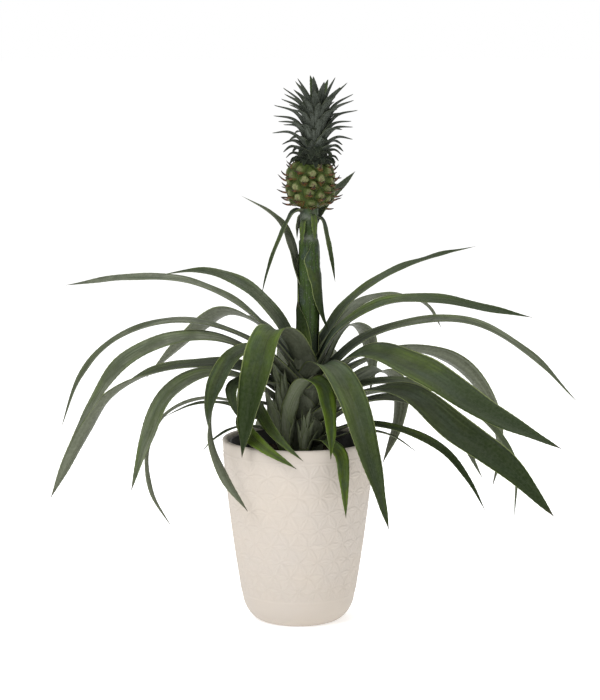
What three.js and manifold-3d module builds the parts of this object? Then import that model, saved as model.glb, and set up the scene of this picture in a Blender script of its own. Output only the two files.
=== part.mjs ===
// A pineapple plant with one small fruit, in its ceramic pot.
// Millimetres, +Z up. The origin is the centre of the pot's underside, +X is to the right of
// the plant's front and -Y is the front. The plant is 380 mm tall and its leaves span 369 mm.
import * as THREE from 'three';
import Module from 'manifold-3d';
import { mergeVertices } from 'three/addons/utils/BufferGeometryUtils.js';

const wasm = await Module();
wasm.setup();

// Clearance left between two pieces that touch.
const GAP = 0.3;

// Ceramic pot: outer radius at the lip, and how it narrows going down.
const POT_HEIGHT = 128.5;
const POT_RIM_RADIUS = 53.4;
const POT_TAPER = 0.0818;
const POT_BULGE = 0.00039;
const POT_WALL = 3.5;
const POT_FLOOR = 5;
const POT_FOOT_RADIUS = 27;
const POT_FOOT_HEIGHT = 15;
const POT_SIDES = 44;

// Plastic growing pot that stands inside the ceramic one.
const LINER_TOP = 126.5;
const LINER_RIM_RADIUS = 49;
const LINER_RIM_DEPTH = 4;
const LINER_NECK_RADIUS = 46.6;
const LINER_FOOT_RADIUS = 30.5;
const LINER_WALL = 1.2;
const LINER_SIDES = 30;
const LINER_HOLES = 6;
const LINER_HOLE_RADIUS = 3.5;
const LINER_HOLE_RING = 22;

// Soil: its height at the edge and in the middle, and the radii where its dome changes slope.
const SOIL_EDGE = 116;
const SOIL_CROWN = 119.5;
const SOIL_SHOULDER_RADIUS = 34;
const SOIL_CROWN_RADIUS = 18;
const SOIL_SIDES = 36;

// Plant axis: the stem stands a little right of the pot's centre and its stalk leans right.
const STEM_X = 5.2;
const STALK_X = 7.5;
const STEM_SIDES = 12;
const STEM_STATIONS = [
  // height, x, radius
  [98, 5.0, 6.5], [112, 5.1, 9.5], [150, 5.2, 9.5], [178, 5.4, 8.2], [192, 6.0, 6.6],
  [215, 6.8, 6.2], [250, 7.4, 5.8], [272, 7.7, 5.0], [289.7, 8.0, 5.0],
];

// Fruit: standing on the stalk, with its crown of leaves above.
const FRUIT_X = 8.6;
const FRUIT_BASE = 290;
const FRUIT_HEIGHT = 33.5;
const FRUIT_RADIUS = 15.3;
const FRUIT_WIDEST = 0.52;
const FRUIT_EYES = 48;
const EYE_HEIGHT = 1.8;
const EYE_REACH = 4.4;
const SPINE_LENGTH = 6;

// Crown on top of the fruit: a core that tapers, and leaves that start over CROWN_FOOT_SPAN of
// it. The lowest reach CROWN_LOW_REACH and hang level, the middle ones reach furthest, and the
// topmost stand CROWN_TOP_RISE above their feet.
const CROWN_X = 9.2;
const CROWN_BASE = FRUIT_BASE + FRUIT_HEIGHT + GAP;
const CROWN_CORE_RADIUS = 7.5;
const CROWN_CORE_HEIGHT = 30;
const CROWN_CORE_SIDES = 10;
const CROWN_LEAVES = 44;
const CROWN_LEAF_WIDTH = 9;
const CROWN_LEAF_SEGMENTS = 3;
const CROWN_FOOT_LIFT = 2.5;
const CROWN_FOOT_SPAN = 23.5;
const CROWN_LOW_REACH = 18;
const CROWN_MIDDLE_REACH = 12;
const CROWN_TOP_REACH = 4;
const CROWN_TOP_RISE = 30;

// Leaf blade: thickness along its middle and its margins, and its smallest width at the tip.
const MID_THICKNESS = 1.4;
const EDGE_THICKNESS = 0.7;
const TIP_WIDTH = 1.1;
const ROOT_WIDTH = 4.5;
const GOLDEN_TURN = Math.PI * (3 - Math.sqrt(5));

// Leaves of the rosette. azimuth: where the leaf points, 0 is +X and 270 is the front, in
// degrees. width: at its widest. roll: twist about its own length, in even steps from root to
// tip. points: reach from the stem's axis, height, and a turn from the azimuth where it curls
// aside.
const ROSETTE = [
  { azimuth: 150, width: 13, roll: [0, -22, -22],
    points: [[4, 176], [24, 211], [51.5, 232.5], [85, 240.5], [118, 237]] },
  { azimuth: 177, width: 13, roll: [0, -8, -45],
    points: [[4, 172], [40, 216], [80, 236.5], [125, 239.5], [168, 234.5]] },
  { azimuth: 142, width: 18, roll: [0, 25, 15],
    points: [[4, 166], [39, 203], [74, 209.5], [108, 189.5], [150, 156]] },
  { azimuth: 183, width: 12, roll: [0, -9, -36],
    points: [[4, 164], [39, 197], [87, 210.5], [129, 200], [155.5, 174], [171, 135.5]] },
  { azimuth: 193, width: 18, roll: [0, -5, -18, -38, -45],
    points: [[4, 151], [47, 193.5], [89, 200], [128, 185], [151.5, 155], [164, 134]] },
  { azimuth: 180, width: 18, roll: [-20, -18, -6, 45, 72], broad: 0.6,
    points: [[4, 148], [44.5, 176.5], [80, 178.5], [114, 171], [141, 152], [160.5, 122],
      [179.5, 85]] },
  { azimuth: 198, width: 18, roll: [0, 0, -14, -40, -45],
    points: [[4, 138], [42, 170.5], [73.5, 175.5], [99, 163], [114.5, 133], [126, 98]] },
  { azimuth: 186, width: 8, roll: [0, 20, 60],
    points: [[4, 130], [43, 152], [72, 157], [98, 146], [110, 122], [108, 92], [94, 65.5]] },
  { azimuth: 213, width: 17, roll: [0, -12, -12, 55, 140],
    points: [[4, 159], [38, 192], [57, 190.5], [72.5, 170], [77, 142], [72.5, 109, 8],
      [66, 87, 20]] },
  { azimuth: 240, width: 24, roll: [0, 0, 10], broad: 0.6,
    points: [[4, 176], [22, 200], [41, 208.5, -2], [54, 202.5], [58, 181.5, -4], [63, 152, -8],
      [64, 123, -13]] },
  { azimuth: 196, width: 12, roll: [0, 0, 0],
    points: [[4, 124], [28, 140, 2], [44, 146, 8], [52, 143, 20], [56, 135, 35], [59, 130, 47],
      [62, 118, 68]] },
  { azimuth: 206, width: 9, roll: [0, 0, 0],
    points: [[4, 130], [22, 150], [36, 155, 2], [43, 148, 22], [49, 138, 39], [55, 131, 51],
      [59.5, 123, 62]] },
  { azimuth: 200, width: 6, roll: [0, 0, 0],
    points: [[4, 120], [28, 135], [49, 139], [68, 131], [78, 121]] },
  { azimuth: 300, width: 11, roll: [0, 0, 0],
    points: [[4, 119], [18, 127], [45, 132, -10], [58, 125, -6.5], [64, 110.5, -7],
      [66, 84, -6]] },
  { azimuth: 294, width: 22, roll: [0, 0, 0],
    points: [[4, 166], [25, 182], [48, 181], [63, 163, 4.5], [74.5, 125.5, 10], [92, 79, 13]] },
  { azimuth: 22, width: 11, roll: [5, 6, 14],
    points: [[4, 179], [29, 218.5], [60, 239], [95, 251], [131, 258]] },
  { azimuth: 344, width: 17, roll: [25, 14, 30],
    points: [[4, 168], [24, 204.5], [56, 224], [91.5, 227.5], [127, 223], [159, 218.5]] },
  { azimuth: 40, width: 14, roll: [10, 0, 0],
    points: [[4, 166], [29, 204.5], [56, 220], [92, 221], [116, 211.5], [130.5, 194]] },
  { azimuth: 356, width: 15, roll: [20, 9, 28],
    points: [[4, 161], [38, 196], [79, 210], [117, 209], [155, 188], [189, 155]] },
  { azimuth: 325, width: 25, roll: [0, 30, 40],
    points: [[4, 154, 5], [45, 190, 3], [90, 184], [148, 159], [201.5, 142]] },
  { azimuth: 20, width: 18, roll: [0, -30, -15],
    points: [[4, 150], [38, 177], [75, 186], [115, 174], [140.5, 145], [149, 110], [144, 82]] },
  { azimuth: 332, width: 25, roll: [0, 0, 28, 35, 40], broad: 0.6,
    points: [[4, 136], [40, 160], [75, 165], [117, 140], [152, 120.5], [186, 91]] },
  { azimuth: 345, width: 15, roll: [0, 10, 20],
    points: [[4, 130], [39, 154], [70, 157], [102, 141], [126, 105]] },
  { azimuth: 2, width: 14, roll: [0, 20, 30],
    points: [[4, 143], [41, 165], [76, 165], [114, 149], [145, 112], [147.5, 68.5]] },
  { azimuth: 40, width: 21, roll: [0, 0, 0],
    points: [[4, 132], [41, 158], [70, 168], [86.5, 156], [86, 130.5], [72.5, 100.5]] },
  { azimuth: 60, width: 19, roll: [0, 0, 0],
    points: [[4, 154], [34, 192.5, 1], [65, 200, 3], [94, 189, 2], [103, 163, 1.5], [95, 147]] },
  { azimuth: 335, width: 9, roll: [0, 20, 40],
    points: [[4, 122], [34, 139], [71, 139], [103, 127], [121.5, 108], [134, 88]] },
  { azimuth: 345, width: 5, roll: [0, 0, 0],
    points: [[4, 120], [35, 134], [60, 133], [82, 120]] },
  { azimuth: 78, width: 16, roll: [0, 0, 0],
    points: [[4, 140], [36, 172], [70, 178], [96, 152], [104, 112]] },
  { azimuth: 100, width: 16, roll: [0, 0, 0],
    points: [[4, 150], [34, 182], [66, 186], [92, 160], [104, 122]] },
  { azimuth: 120, width: 15, roll: [0, 0, 0],
    points: [[4, 136], [36, 168], [68, 172], [90, 148], [98, 110]] },
  { azimuth: 90, width: 12, roll: [0, 0, 0],
    points: [[4, 126], [30, 146], [56, 150], [76, 130], [82, 98]] },
  { azimuth: 110, width: 12, roll: [0, 0, 0],
    points: [[4, 124], [32, 142], [58, 144], [74, 126], [78, 100]] },
  { azimuth: 62, width: 12, roll: [0, 0, 0],
    points: [[4, 122], [30, 138], [56, 142], [78, 124], [84, 88]] },
  { azimuth: 120, width: 10, roll: [0, 0, 0],
    points: [[4, 118], [28, 134], [50, 138], [66, 128], [74, 108]] },
  { azimuth: 219, width: 14, roll: [0, -10, -30],
    points: [[4, 148], [30, 169], [51.5, 173], [64, 170], [63.5, 159.5], [58, 147]] },
  { azimuth: 170, width: 7, roll: [0, -6, -12],
    points: [[4, 121], [30, 139], [57.5, 150.5], [73.5, 150.5], [83, 148.5], [92.5, 144.5],
      [104, 138.5]] },
];

// Leaves of the stalk, in the same terms, measured from the stalk.
const STALK_LEAVES = [
  { azimuth: 170, width: 10, roll: [0, -30, 0], broad: 0.3,
    points: [[3, 224], [9, 244], [13, 262], [19, 277], [30, 287], [48, 297]] },
  { azimuth: 320, width: 13, roll: [0, 0, 0], broad: 0.35, cup: -0.2,
    points: [[2, 268], [3, 262], [6.2, 250], [8.6, 238, 4], [9.7, 226, 8], [11.4, 214, 16],
      [14, 203, 26]] },
  { azimuth: 205, width: 6, roll: [0, 0, 0],
    points: [[3, 284], [13.5, 288], [17, 278.5], [27, 258], [33, 244], [36, 231]] },
  { azimuth: 340, width: 4.5, roll: [0, 30, 30],
    points: [[3, 283], [9, 281.5], [12.5, 270], [16, 254.5], [19, 238]] },
  { azimuth: 55, width: 7.5, roll: [0, 30, 30],
    points: [[3, 270], [14.8, 287], [27.4, 296.7], [40.7, 302.8], [57, 311.5]] },
];

// Dry bracts under the fruit: where each points and the height that it springs from. All have
// the same points, as reach from the stalk and rise from that height.
const BRACTS = [[145, 284], [240, 281], [290, 285], [100, 282], [124, 284]];
const BRACT_WIDTH = 4;
const BRACT_POINTS = [[3, -3], [7.2, 0], [9.4, -8], [10.4, -17]];

// Young side shoots at the plant's foot: where each stands, how tall its inner leaves are, and
// the one long leaf that arches from the first over the pot's front.
const SHOOTS = [
  { x: -8, y: -20, height: 41, leaves: 7,
    arch: { azimuth: 300, width: 16, roll: [0, 0, 0], broad: 0.5,
      points: [[0.5, 122, 0], [5.5, 150, -12], [14, 166, 4], [25, 175, 8], [37, 171, 10],
        [45, 160, 7], [50, 143, 6], [53, 125, 4]] } },
  { x: 4, y: -23, height: 27, leaves: 6 },
];
const SHOOT_ROOT = 106;
const SHOOT_RADIUS = 4;
const SHOOT_LEAF_WIDTH = 4.6;

function solidFrom(positions, triangles) {
  const mesh = new wasm.Mesh({
    numProp: 3,
    vertProperties: Float32Array.from(positions),
    triVerts: Uint32Array.from(triangles),
  });
  return new wasm.Manifold(mesh);
}

function solidFromGeometry(geometry) {
  const bare = geometry.clone();
  bare.deleteAttribute('normal');
  bare.deleteAttribute('uv');
  const merged = mergeVertices(bare, 1e-4);
  return solidFrom(merged.attributes.position.array, merged.index.array);
}

function geometryFrom(solid) {
  const mesh = solid.getMesh();
  const geometry = new THREE.BufferGeometry();
  geometry.setAttribute('position', new THREE.BufferAttribute(mesh.vertProperties, 3));
  geometry.setIndex(new THREE.BufferAttribute(mesh.triVerts, 1));
  geometry.computeVertexNormals();
  return geometry;
}

// Pieces grown together as one body, without the specks and pockets that joining may leave.
function fused(pieces) {
  const joined = pieces.reduce((body, piece) => body.add(piece));
  return joined.decompose().reduce((best, body) => (body.volume() > best.volume() ? body : best));
}

// A profile of [radius, height] pairs turned about the vertical axis.
function turned(profile, sides) {
  const points = profile.map(([r, z]) => new THREE.Vector2(r, z));
  const geometry = new THREE.LatheGeometry(points, sides);
  geometry.rotateX(Math.PI / 2);
  return solidFromGeometry(geometry);
}

// Rings of points joined one to the next, with the first and last ring closed flat.
function lofted(rings) {
  const sides = rings[0].length;
  const positions = rings.flat().flatMap((p) => [p.x, p.y, p.z]);
  const triangles = [];
  for (let k = 0; k + 1 < rings.length; k += 1) {
    for (let i = 0; i < sides; i += 1) {
      const a = k * sides + i;
      const b = k * sides + ((i + 1) % sides);
      triangles.push(a, b, b + sides, a, b + sides, a + sides);
    }
  }
  const last = (rings.length - 1) * sides;
  for (let i = 1; i + 1 < sides; i += 1) {
    triangles.push(0, i + 1, i);
    triangles.push(last, last + i, last + i + 1);
  }
  return solidFrom(positions, triangles);
}

function ringAt(x, y, z, radius, sides) {
  return Array.from({ length: sides }, (_, i) => {
    const turn = (2 * Math.PI * i) / sides;
    return new THREE.Vector3(x + radius * Math.cos(turn), y + radius * Math.sin(turn), z);
  });
}

function mix(a, b, t) {
  return a + (b - a) * t;
}

function smooth(t) {
  const s = Math.min(Math.max(t, 0), 1);
  return s * s * (3 - 2 * s);
}

// Value at a share of the way along a list of evenly spaced values.
function stepped(values, share) {
  const place = share * (values.length - 1);
  const i = Math.min(Math.floor(place), values.length - 2);
  return mix(values[i], values[i + 1], place - i);
}

// Curve of a leaf from its list of reach, height and turn.
function leafCurve(leaf, footX, footY = 0) {
  const points = leaf.points.map(([reach, height, turn = 0]) => {
    const heading = THREE.MathUtils.degToRad(leaf.azimuth + turn);
    return new THREE.Vector3(
      footX + reach * Math.cos(heading), footY + reach * Math.sin(heading), height);
  });
  return new THREE.CatmullRomCurve3(points, false, 'centripetal');
}

// Width of a leaf along its length: narrow at the root, full at "broad", then down to the tip.
function leafWidth(leaf, s) {
  const broad = leaf.broad ?? 0.45;
  if (s < broad) {
    const root = Math.min(leaf.width, ROOT_WIDTH + 0.3 * leaf.width);
    return mix(root, leaf.width, smooth(s / broad));
  }
  return Math.max(leaf.width * (1 - ((s - broad) / (1 - broad)) ** 1.8), TIP_WIDTH);
}

// One leaf: a thin blade of three strips of points each side, folded up a little along its
// middle, split into triangles alike on both faces.
function blade(leaf, footX, footY, segments) {
  const curve = leafCurve(leaf, footX, footY);
  const cup = leaf.cup ?? 0.16;
  const faces = [[], []];
  for (let k = 0; k <= segments; k += 1) {
    const s = k / segments;
    const centre = curve.getPointAt(s);
    const along = curve.getTangentAt(s);
    const across = new THREE.Vector3(-(centre.y - footY), centre.x - footX, 0).normalize();
    across.addScaledVector(along, -across.dot(along)).normalize();
    const up = new THREE.Vector3().crossVectors(along, across);
    const roll = THREE.MathUtils.degToRad(stepped(leaf.roll, s));
    across.applyAxisAngle(along, roll);
    up.applyAxisAngle(along, roll);
    const width = leafWidth(leaf, s);
    const middle = mix(MID_THICKNESS, EDGE_THICKNESS, s);
    for (const [face, side] of [[0, 1], [1, -1]]) {
      for (const place of [-1, 0, 1]) {
        const thickness = place === 0 ? middle : EDGE_THICKNESS;
        const lift = Math.abs(place) * cup * width + (side * thickness) / 2;
        faces[face].push(centre.clone()
          .addScaledVector(across, (place * width) / 2)
          .addScaledVector(up, lift));
      }
    }
  }
  return closedSheet(faces[0], faces[1], segments + 1);
}

// Top and bottom grids of rows of three points, closed round their edge.
function closedSheet(top, bottom, rows) {
  const positions = [...top, ...bottom].flatMap((p) => [p.x, p.y, p.z]);
  const under = rows * 3;
  const triangles = [];
  const quad = (a, b, c, d) => triangles.push(a, b, c, a, c, d);
  for (let k = 0; k + 1 < rows; k += 1) {
    const a = 3 * k;
    for (const j of [0, 1]) {
      triangles.push(a + j, a + j + 3, a + j + 4, a + j, a + j + 4, a + j + 1);
      const u = under + a + j;
      triangles.push(u, u + 4, u + 3, u, u + 1, u + 4);
    }
    quad(a + 3, a, under + a, under + a + 3);
    quad(a + 2, a + 5, under + a + 5, under + a + 2);
  }
  const end = 3 * (rows - 1);
  for (const j of [0, 1]) {
    quad(j, j + 1, under + j + 1, under + j);
    quad(end + j + 1, end + j, under + end + j, under + end + j + 1);
  }
  return solidFrom(positions, triangles);
}

// The pot's outer radius at a height: a taper with a slight curve, rounded in at the foot.
function potRadius(z) {
  const down = POT_HEIGHT - z;
  const side = POT_RIM_RADIUS - POT_TAPER * down - POT_BULGE * down * down;
  if (z >= POT_FOOT_HEIGHT) {
    return side;
  }
  const t = 1 - z / POT_FOOT_HEIGHT;
  return mix(POT_FOOT_RADIUS, side, Math.sqrt(1 - t * t));
}

function pot() {
  const outerHeights = [0, 0.5, 1.8, 4, 8, 15, 35, 60, 85, 108];
  const innerHeights = [110, 85, 60, 35, 16, 9];
  const outside = outerHeights.map((z) => [potRadius(z), z]);
  const inside = innerHeights.map((z) => [potRadius(z) - POT_WALL, z]);
  const lip = POT_WALL / 4;
  return turned([
    [0, 0], ...outside,
    [POT_RIM_RADIUS, POT_HEIGHT - lip], [POT_RIM_RADIUS - lip, POT_HEIGHT],
    [POT_RIM_RADIUS - POT_WALL + lip, POT_HEIGHT], [POT_RIM_RADIUS - POT_WALL, POT_HEIGHT - lip],
    ...inside, [POT_FOOT_RADIUS + 4, POT_FLOOR], [0, POT_FLOOR],
  ], POT_SIDES);
}

// Radius of the growing pot's outer wall below its rim.
function linerRadius(z) {
  const foot = POT_FLOOR + GAP;
  return mix(LINER_FOOT_RADIUS, LINER_NECK_RADIUS, (z - foot) / (LINER_TOP - foot));
}

function liner() {
  const foot = POT_FLOOR + GAP;
  const underRim = LINER_TOP - LINER_RIM_DEPTH;
  const inner = foot + LINER_WALL;
  let body = turned([
    [0, foot], [LINER_FOOT_RADIUS - 2, foot], [linerRadius(foot + 2), foot + 2],
    [linerRadius(underRim), underRim], [LINER_RIM_RADIUS, underRim],
    [LINER_RIM_RADIUS, LINER_TOP], [LINER_NECK_RADIUS - LINER_WALL, LINER_TOP],
    [linerRadius(inner) - LINER_WALL, inner], [0, inner],
  ], LINER_SIDES);
  for (let i = 0; i < LINER_HOLES; i += 1) {
    const turn = (2 * Math.PI * i) / LINER_HOLES;
    const drill = new THREE.CylinderGeometry(LINER_HOLE_RADIUS, LINER_HOLE_RADIUS, 10, 10);
    drill.rotateX(Math.PI / 2);
    drill.translate(LINER_HOLE_RING * Math.cos(turn), LINER_HOLE_RING * Math.sin(turn), foot);
    body = body.subtract(solidFromGeometry(drill));
  }
  return body;
}

function soil(standing) {
  const bottom = POT_FLOOR + GAP + LINER_WALL + GAP;
  const inside = (z) => linerRadius(z) - LINER_WALL - GAP;
  let body = turned([
    [0, bottom], [inside(bottom), bottom], [inside(SOIL_EDGE), SOIL_EDGE],
    [SOIL_SHOULDER_RADIUS, mix(SOIL_EDGE, SOIL_CROWN, 0.6)], [SOIL_CROWN_RADIUS, SOIL_CROWN],
    [0, SOIL_CROWN],
  ], SOIL_SIDES);
  for (const piece of standing) {
    body = body.subtract(piece);
  }
  return body;
}

// The stem and its stalk in one, swelled by "extra" where room is cut for it.
function stem(extra = 0) {
  const rings = STEM_STATIONS.map(([z, x, radius], i) => {
    const drop = i === 0 ? extra : 0;
    return ringAt(x, 0, z - drop, radius + extra, STEM_SIDES);
  });
  return lofted(rings);
}

// Short dry bracts that hang from the stalk just under the fruit, grown into it.
function stalkBracts() {
  return BRACTS.map(([azimuth, z]) => blade({
    azimuth,
    width: BRACT_WIDTH,
    roll: [0, 0, 0],
    points: BRACT_POINTS.map(([reach, rise]) => [reach, z + rise]),
  }, STALK_X, 0, 4));
}

// A needle of three sides that curves from its root to its tip.
function needle(root, tip, bend, radius) {
  const middle = root.clone().lerp(tip, 0.5).add(bend);
  const axis = tip.clone().sub(root).normalize();
  const side = new THREE.Vector3(0, 0, 1).cross(axis).normalize();
  const over = new THREE.Vector3().crossVectors(axis, side);
  const section = (centre, size) => [0, 1, 2].map((i) => {
    const turn = Math.PI / 2 + (2 * Math.PI * i) / 3;
    return centre.clone()
      .addScaledVector(side, size * Math.cos(turn))
      .addScaledVector(over, size * Math.sin(turn));
  });
  return lofted([section(root, radius), section(middle, radius * 0.75), section(tip, 0.4)]);
}

// Radius of the fruit without its eyes, at a share t of its height: a full barrel.
function fruitRadius(t) {
  const half = t < FRUIT_WIDEST ? FRUIT_WIDEST : 1 - FRUIT_WIDEST;
  const x = Math.min(Math.abs(t - FRUIT_WIDEST) / half, 0.97);
  return FRUIT_RADIUS * Math.cbrt(1 - x ** 3);
}

// Centre of each eye: its turn round the fruit and its share of the height.
function fruitEyes() {
  return Array.from({ length: FRUIT_EYES }, (_, i) => ({
    turn: i * GOLDEN_TURN,
    t: mix(0.07, 0.93, (i + 0.5) / FRUIT_EYES),
  }));
}

// How far the fruit's surface rises at a place: most at the centre of the nearest eye.
function eyeRise(eyes, turn, t) {
  const squares = eyes.map((eye) => {
    const around = Math.atan2(Math.sin(turn - eye.turn), Math.cos(turn - eye.turn));
    return (around * fruitRadius(t)) ** 2 + ((t - eye.t) * FRUIT_HEIGHT) ** 2;
  });
  return EYE_HEIGHT * Math.max(1 - Math.min(...squares) / EYE_REACH ** 2, 0);
}

// A spine that curves out from the lower edge of an eye, down at the fruit's foot and up at
// its top.
function fruitSpine(eye) {
  const out = new THREE.Vector3(Math.cos(eye.turn), Math.sin(eye.turn), 0);
  const radius = fruitRadius(eye.t);
  const z = FRUIT_BASE + eye.t * FRUIT_HEIGHT;
  const at = (reach, height) => new THREE.Vector3(FRUIT_X, 0, height).addScaledVector(out, reach);
  const tip = at(radius + SPINE_LENGTH * mix(1, 0.7, eye.t), z + mix(-2.5, 2.5, eye.t));
  return needle(at(radius - 1, z - 1.6), tip, out.clone().multiplyScalar(0.8).setZ(-1), 1.3);
}

// The fruit: a barrel of eyes, with a spine at every second eye.
function fruit() {
  const rows = 17;
  const columns = 36;
  const eyes = fruitEyes();
  const rings = [];
  for (let k = 0; k <= rows; k += 1) {
    const t = k / rows;
    const rise = k === 0 || k === rows ? 0 : 1;
    rings.push(Array.from({ length: columns }, (_, i) => {
      const turn = (2 * Math.PI * (i + (k % 2) / 2)) / columns;
      const radius = fruitRadius(t) + rise * eyeRise(eyes, turn, t);
      const x = FRUIT_X + radius * Math.cos(turn);
      return new THREE.Vector3(x, radius * Math.sin(turn), FRUIT_BASE + t * FRUIT_HEIGHT);
    }));
  }
  const spines = eyes.filter((_, i) => i % 2 === 0).map(fruitSpine);
  return fused([lofted(rings), ...spines]);
}

// Leaf i of the crown, with t from 0 at its foot to 1 at its top: broad where it clasps the
// core, and drawn out to a fine tip that curls down at the foot and stands up at the top.
function crownLeaf(i, t) {
  const turn = i * GOLDEN_TURN;
  const out = new THREE.Vector3(Math.cos(turn), Math.sin(turn), 0);
  const foot = CROWN_BASE + CROWN_FOOT_LIFT + t * CROWN_FOOT_SPAN;
  const reach = mix(CROWN_LOW_REACH, CROWN_TOP_REACH, t ** 3)
    + CROWN_MIDDLE_REACH * Math.sin(0.9 * Math.PI * t);
  const rise = mix(-1, CROWN_TOP_RISE, t ** 1.3);
  const kneeReach = mix(12, 5.5, t);
  const kneeRise = rise / 2 + mix(5, 3.5, t);
  const at = (r, height) => new THREE.Vector3(CROWN_X, 0, height).addScaledVector(out, r);
  const curve = new THREE.QuadraticBezierCurve3(
    at(2, foot - 1), at(kneeReach, foot + kneeRise), at(reach, foot + rise));
  const side = new THREE.Vector3(-out.y, out.x, 0);
  const rings = [];
  for (let k = 0; k <= CROWN_LEAF_SEGMENTS; k += 1) {
    const s = k / CROWN_LEAF_SEGMENTS;
    const centre = curve.getPoint(s);
    const up = new THREE.Vector3().crossVectors(curve.getTangent(s), side).normalize();
    const half = Math.max((CROWN_LEAF_WIDTH / 2) * (1 - s) ** 0.9 * mix(0.75, 1, t), 0.4);
    const edge = (sign) => centre.clone()
      .addScaledVector(side, sign * half)
      .addScaledVector(up, half * 0.3);
    const middle = (lift) => centre.clone().addScaledVector(up, lift);
    rings.push([edge(-1), middle(-0.55), edge(1), middle(0.5)]);
  }
  return lofted(rings);
}

// The crown: leaves in a golden spiral up a short tapered core.
function crown() {
  const coreRing = (rise, share) => {
    const z = CROWN_BASE + CROWN_CORE_HEIGHT * rise;
    return ringAt(CROWN_X, 0, z, CROWN_CORE_RADIUS * share, CROWN_CORE_SIDES);
  };
  const core = lofted([coreRing(0, 1), coreRing(0.5, 0.9), coreRing(1, 0.4)]);
  const leaves = [];
  for (let i = 0; i < CROWN_LEAVES; i += 1) {
    leaves.push(crownLeaf(i, i / (CROWN_LEAVES - 1)));
  }
  return fused([core, ...leaves]);
}

// Foot of a side shoot: a short round stem that stands in the soil.
function shootFoot(shoot, extra = 0) {
  const { x, y } = shoot;
  return lofted([
    ringAt(x, y, SHOOT_ROOT - extra, SHOOT_RADIUS * 0.75 + extra, 10),
    ringAt(x, y, SOIL_CROWN - 4, SHOOT_RADIUS + extra, 10),
    ringAt(x, y, SOIL_CROWN + 6, SHOOT_RADIUS * 0.85 + extra, 10),
  ]);
}

// A side shoot: narrow upright leaves on its foot, the inner ones taller.
function shootLeaves(shoot) {
  const leaves = [];
  for (let i = 0; i < shoot.leaves; i += 1) {
    const t = (i + 0.5) / shoot.leaves;
    const heading = THREE.MathUtils.radToDeg(i * GOLDEN_TURN);
    const height = shoot.height * mix(0.5, 1, t);
    const spread = mix(7, 3, t);
    const base = SOIL_CROWN + 1 + 3 * t;
    leaves.push({
      azimuth: heading, width: SHOOT_LEAF_WIDTH, roll: [0, 0, 0], cup: 0.25,
      points: [[0.5, base], [3, base + height * 0.3], [spread * 0.7, base + height * 0.7],
        [spread, base + height]],
    });
  }
  return leaves;
}

function shoot(place) {
  const pieces = shootLeaves(place).map((leaf) => blade(leaf, place.x, place.y, 4));
  if (place.arch) {
    pieces.push(blade(place.arch, place.x, place.y, 12));
  }
  return fused([shootFoot(place), ...pieces]);
}

function material(color, roughness) {
  return new THREE.MeshStandardMaterial({ color, roughness, metalness: 0 });
}

const GLAZE = material('#d9cfc2', 0.6);
const PLASTIC = material('#25241f', 0.55);
const SOIL = material('#2a211b', 0.95);
const LEAF = material('#4d5c3c', 0.5);
const STALK = material('#4a6030', 0.5);
const SHOOT = material('#5d7138', 0.5);
const FRUIT = material('#8b8a4f', 0.6);
const CROWN = material('#4a5c47', 0.55);

const group = new THREE.Group();

function place(name, solid, surface) {
  const mesh = new THREE.Mesh(geometryFrom(solid), surface);
  mesh.name = name;
  group.add(mesh);
}

const stemRoom = stem(GAP);

place('ceramic_pot', pot(), GLAZE);
place('growing_pot', liner(), PLASTIC);
place('soil', soil([stemRoom, ...SHOOTS.map((s) => shootFoot(s, GAP))]), SOIL);
place('stem', fused([stem(), ...stalkBracts()]), STALK);
ROSETTE.forEach((leaf, i) => {
  const segments = leaf.points.length > 5 ? 12 : 10;
  const cut = blade(leaf, STEM_X, 0, segments).subtract(stemRoom);
  place(`leaf_${String(i + 1).padStart(2, '0')}`, cut, LEAF);
});
STALK_LEAVES.forEach((leaf, i) => {
  place(`stalk_leaf_${i + 1}`, blade(leaf, STALK_X, 0, 8).subtract(stemRoom), LEAF);
});
SHOOTS.forEach((s, i) => place(`side_shoot_${i + 1}`, shoot(s), SHOOT));
place('fruit', fruit(), FRUIT);
place('fruit_crown', crown(), CROWN);

export default group;
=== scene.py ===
# A pineapple plant with one small fruit, in its embossed ceramic pot: the finish of every piece.
import math

import bpy
import numpy as np
from bpy.props import FloatProperty, FloatVectorProperty, IntProperty, PointerProperty
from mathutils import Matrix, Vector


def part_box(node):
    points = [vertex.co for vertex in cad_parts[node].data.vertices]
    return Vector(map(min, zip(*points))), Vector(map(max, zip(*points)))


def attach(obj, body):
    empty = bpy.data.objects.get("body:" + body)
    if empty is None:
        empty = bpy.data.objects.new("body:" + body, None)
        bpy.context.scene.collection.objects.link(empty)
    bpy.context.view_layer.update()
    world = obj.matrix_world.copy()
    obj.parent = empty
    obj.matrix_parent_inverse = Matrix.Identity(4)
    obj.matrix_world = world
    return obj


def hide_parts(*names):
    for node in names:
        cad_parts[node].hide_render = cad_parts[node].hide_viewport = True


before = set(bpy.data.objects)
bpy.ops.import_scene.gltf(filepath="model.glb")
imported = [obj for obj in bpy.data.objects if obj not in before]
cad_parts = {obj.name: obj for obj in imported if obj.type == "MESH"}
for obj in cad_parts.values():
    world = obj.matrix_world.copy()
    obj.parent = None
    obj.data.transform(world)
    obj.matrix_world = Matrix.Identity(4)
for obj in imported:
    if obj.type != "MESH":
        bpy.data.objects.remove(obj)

bl_info = {
    "name": "Potted Pineapple Plant",
    "version": (1, 0, 0),
    "blender": (4, 5, 0),
    "location": "View3D > Sidebar > Pineapple",
    "description": "Builds a pineapple plant with its fruit, crown, soil and embossed ceramic pot",
    "category": "Add Mesh",
}

# Everything is in metres, and the tables of leaves are in millimetres and degrees.
MM = 0.001
GOLDEN_TURN = math.pi * (3 - math.sqrt(5))
BODY = "root"

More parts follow.
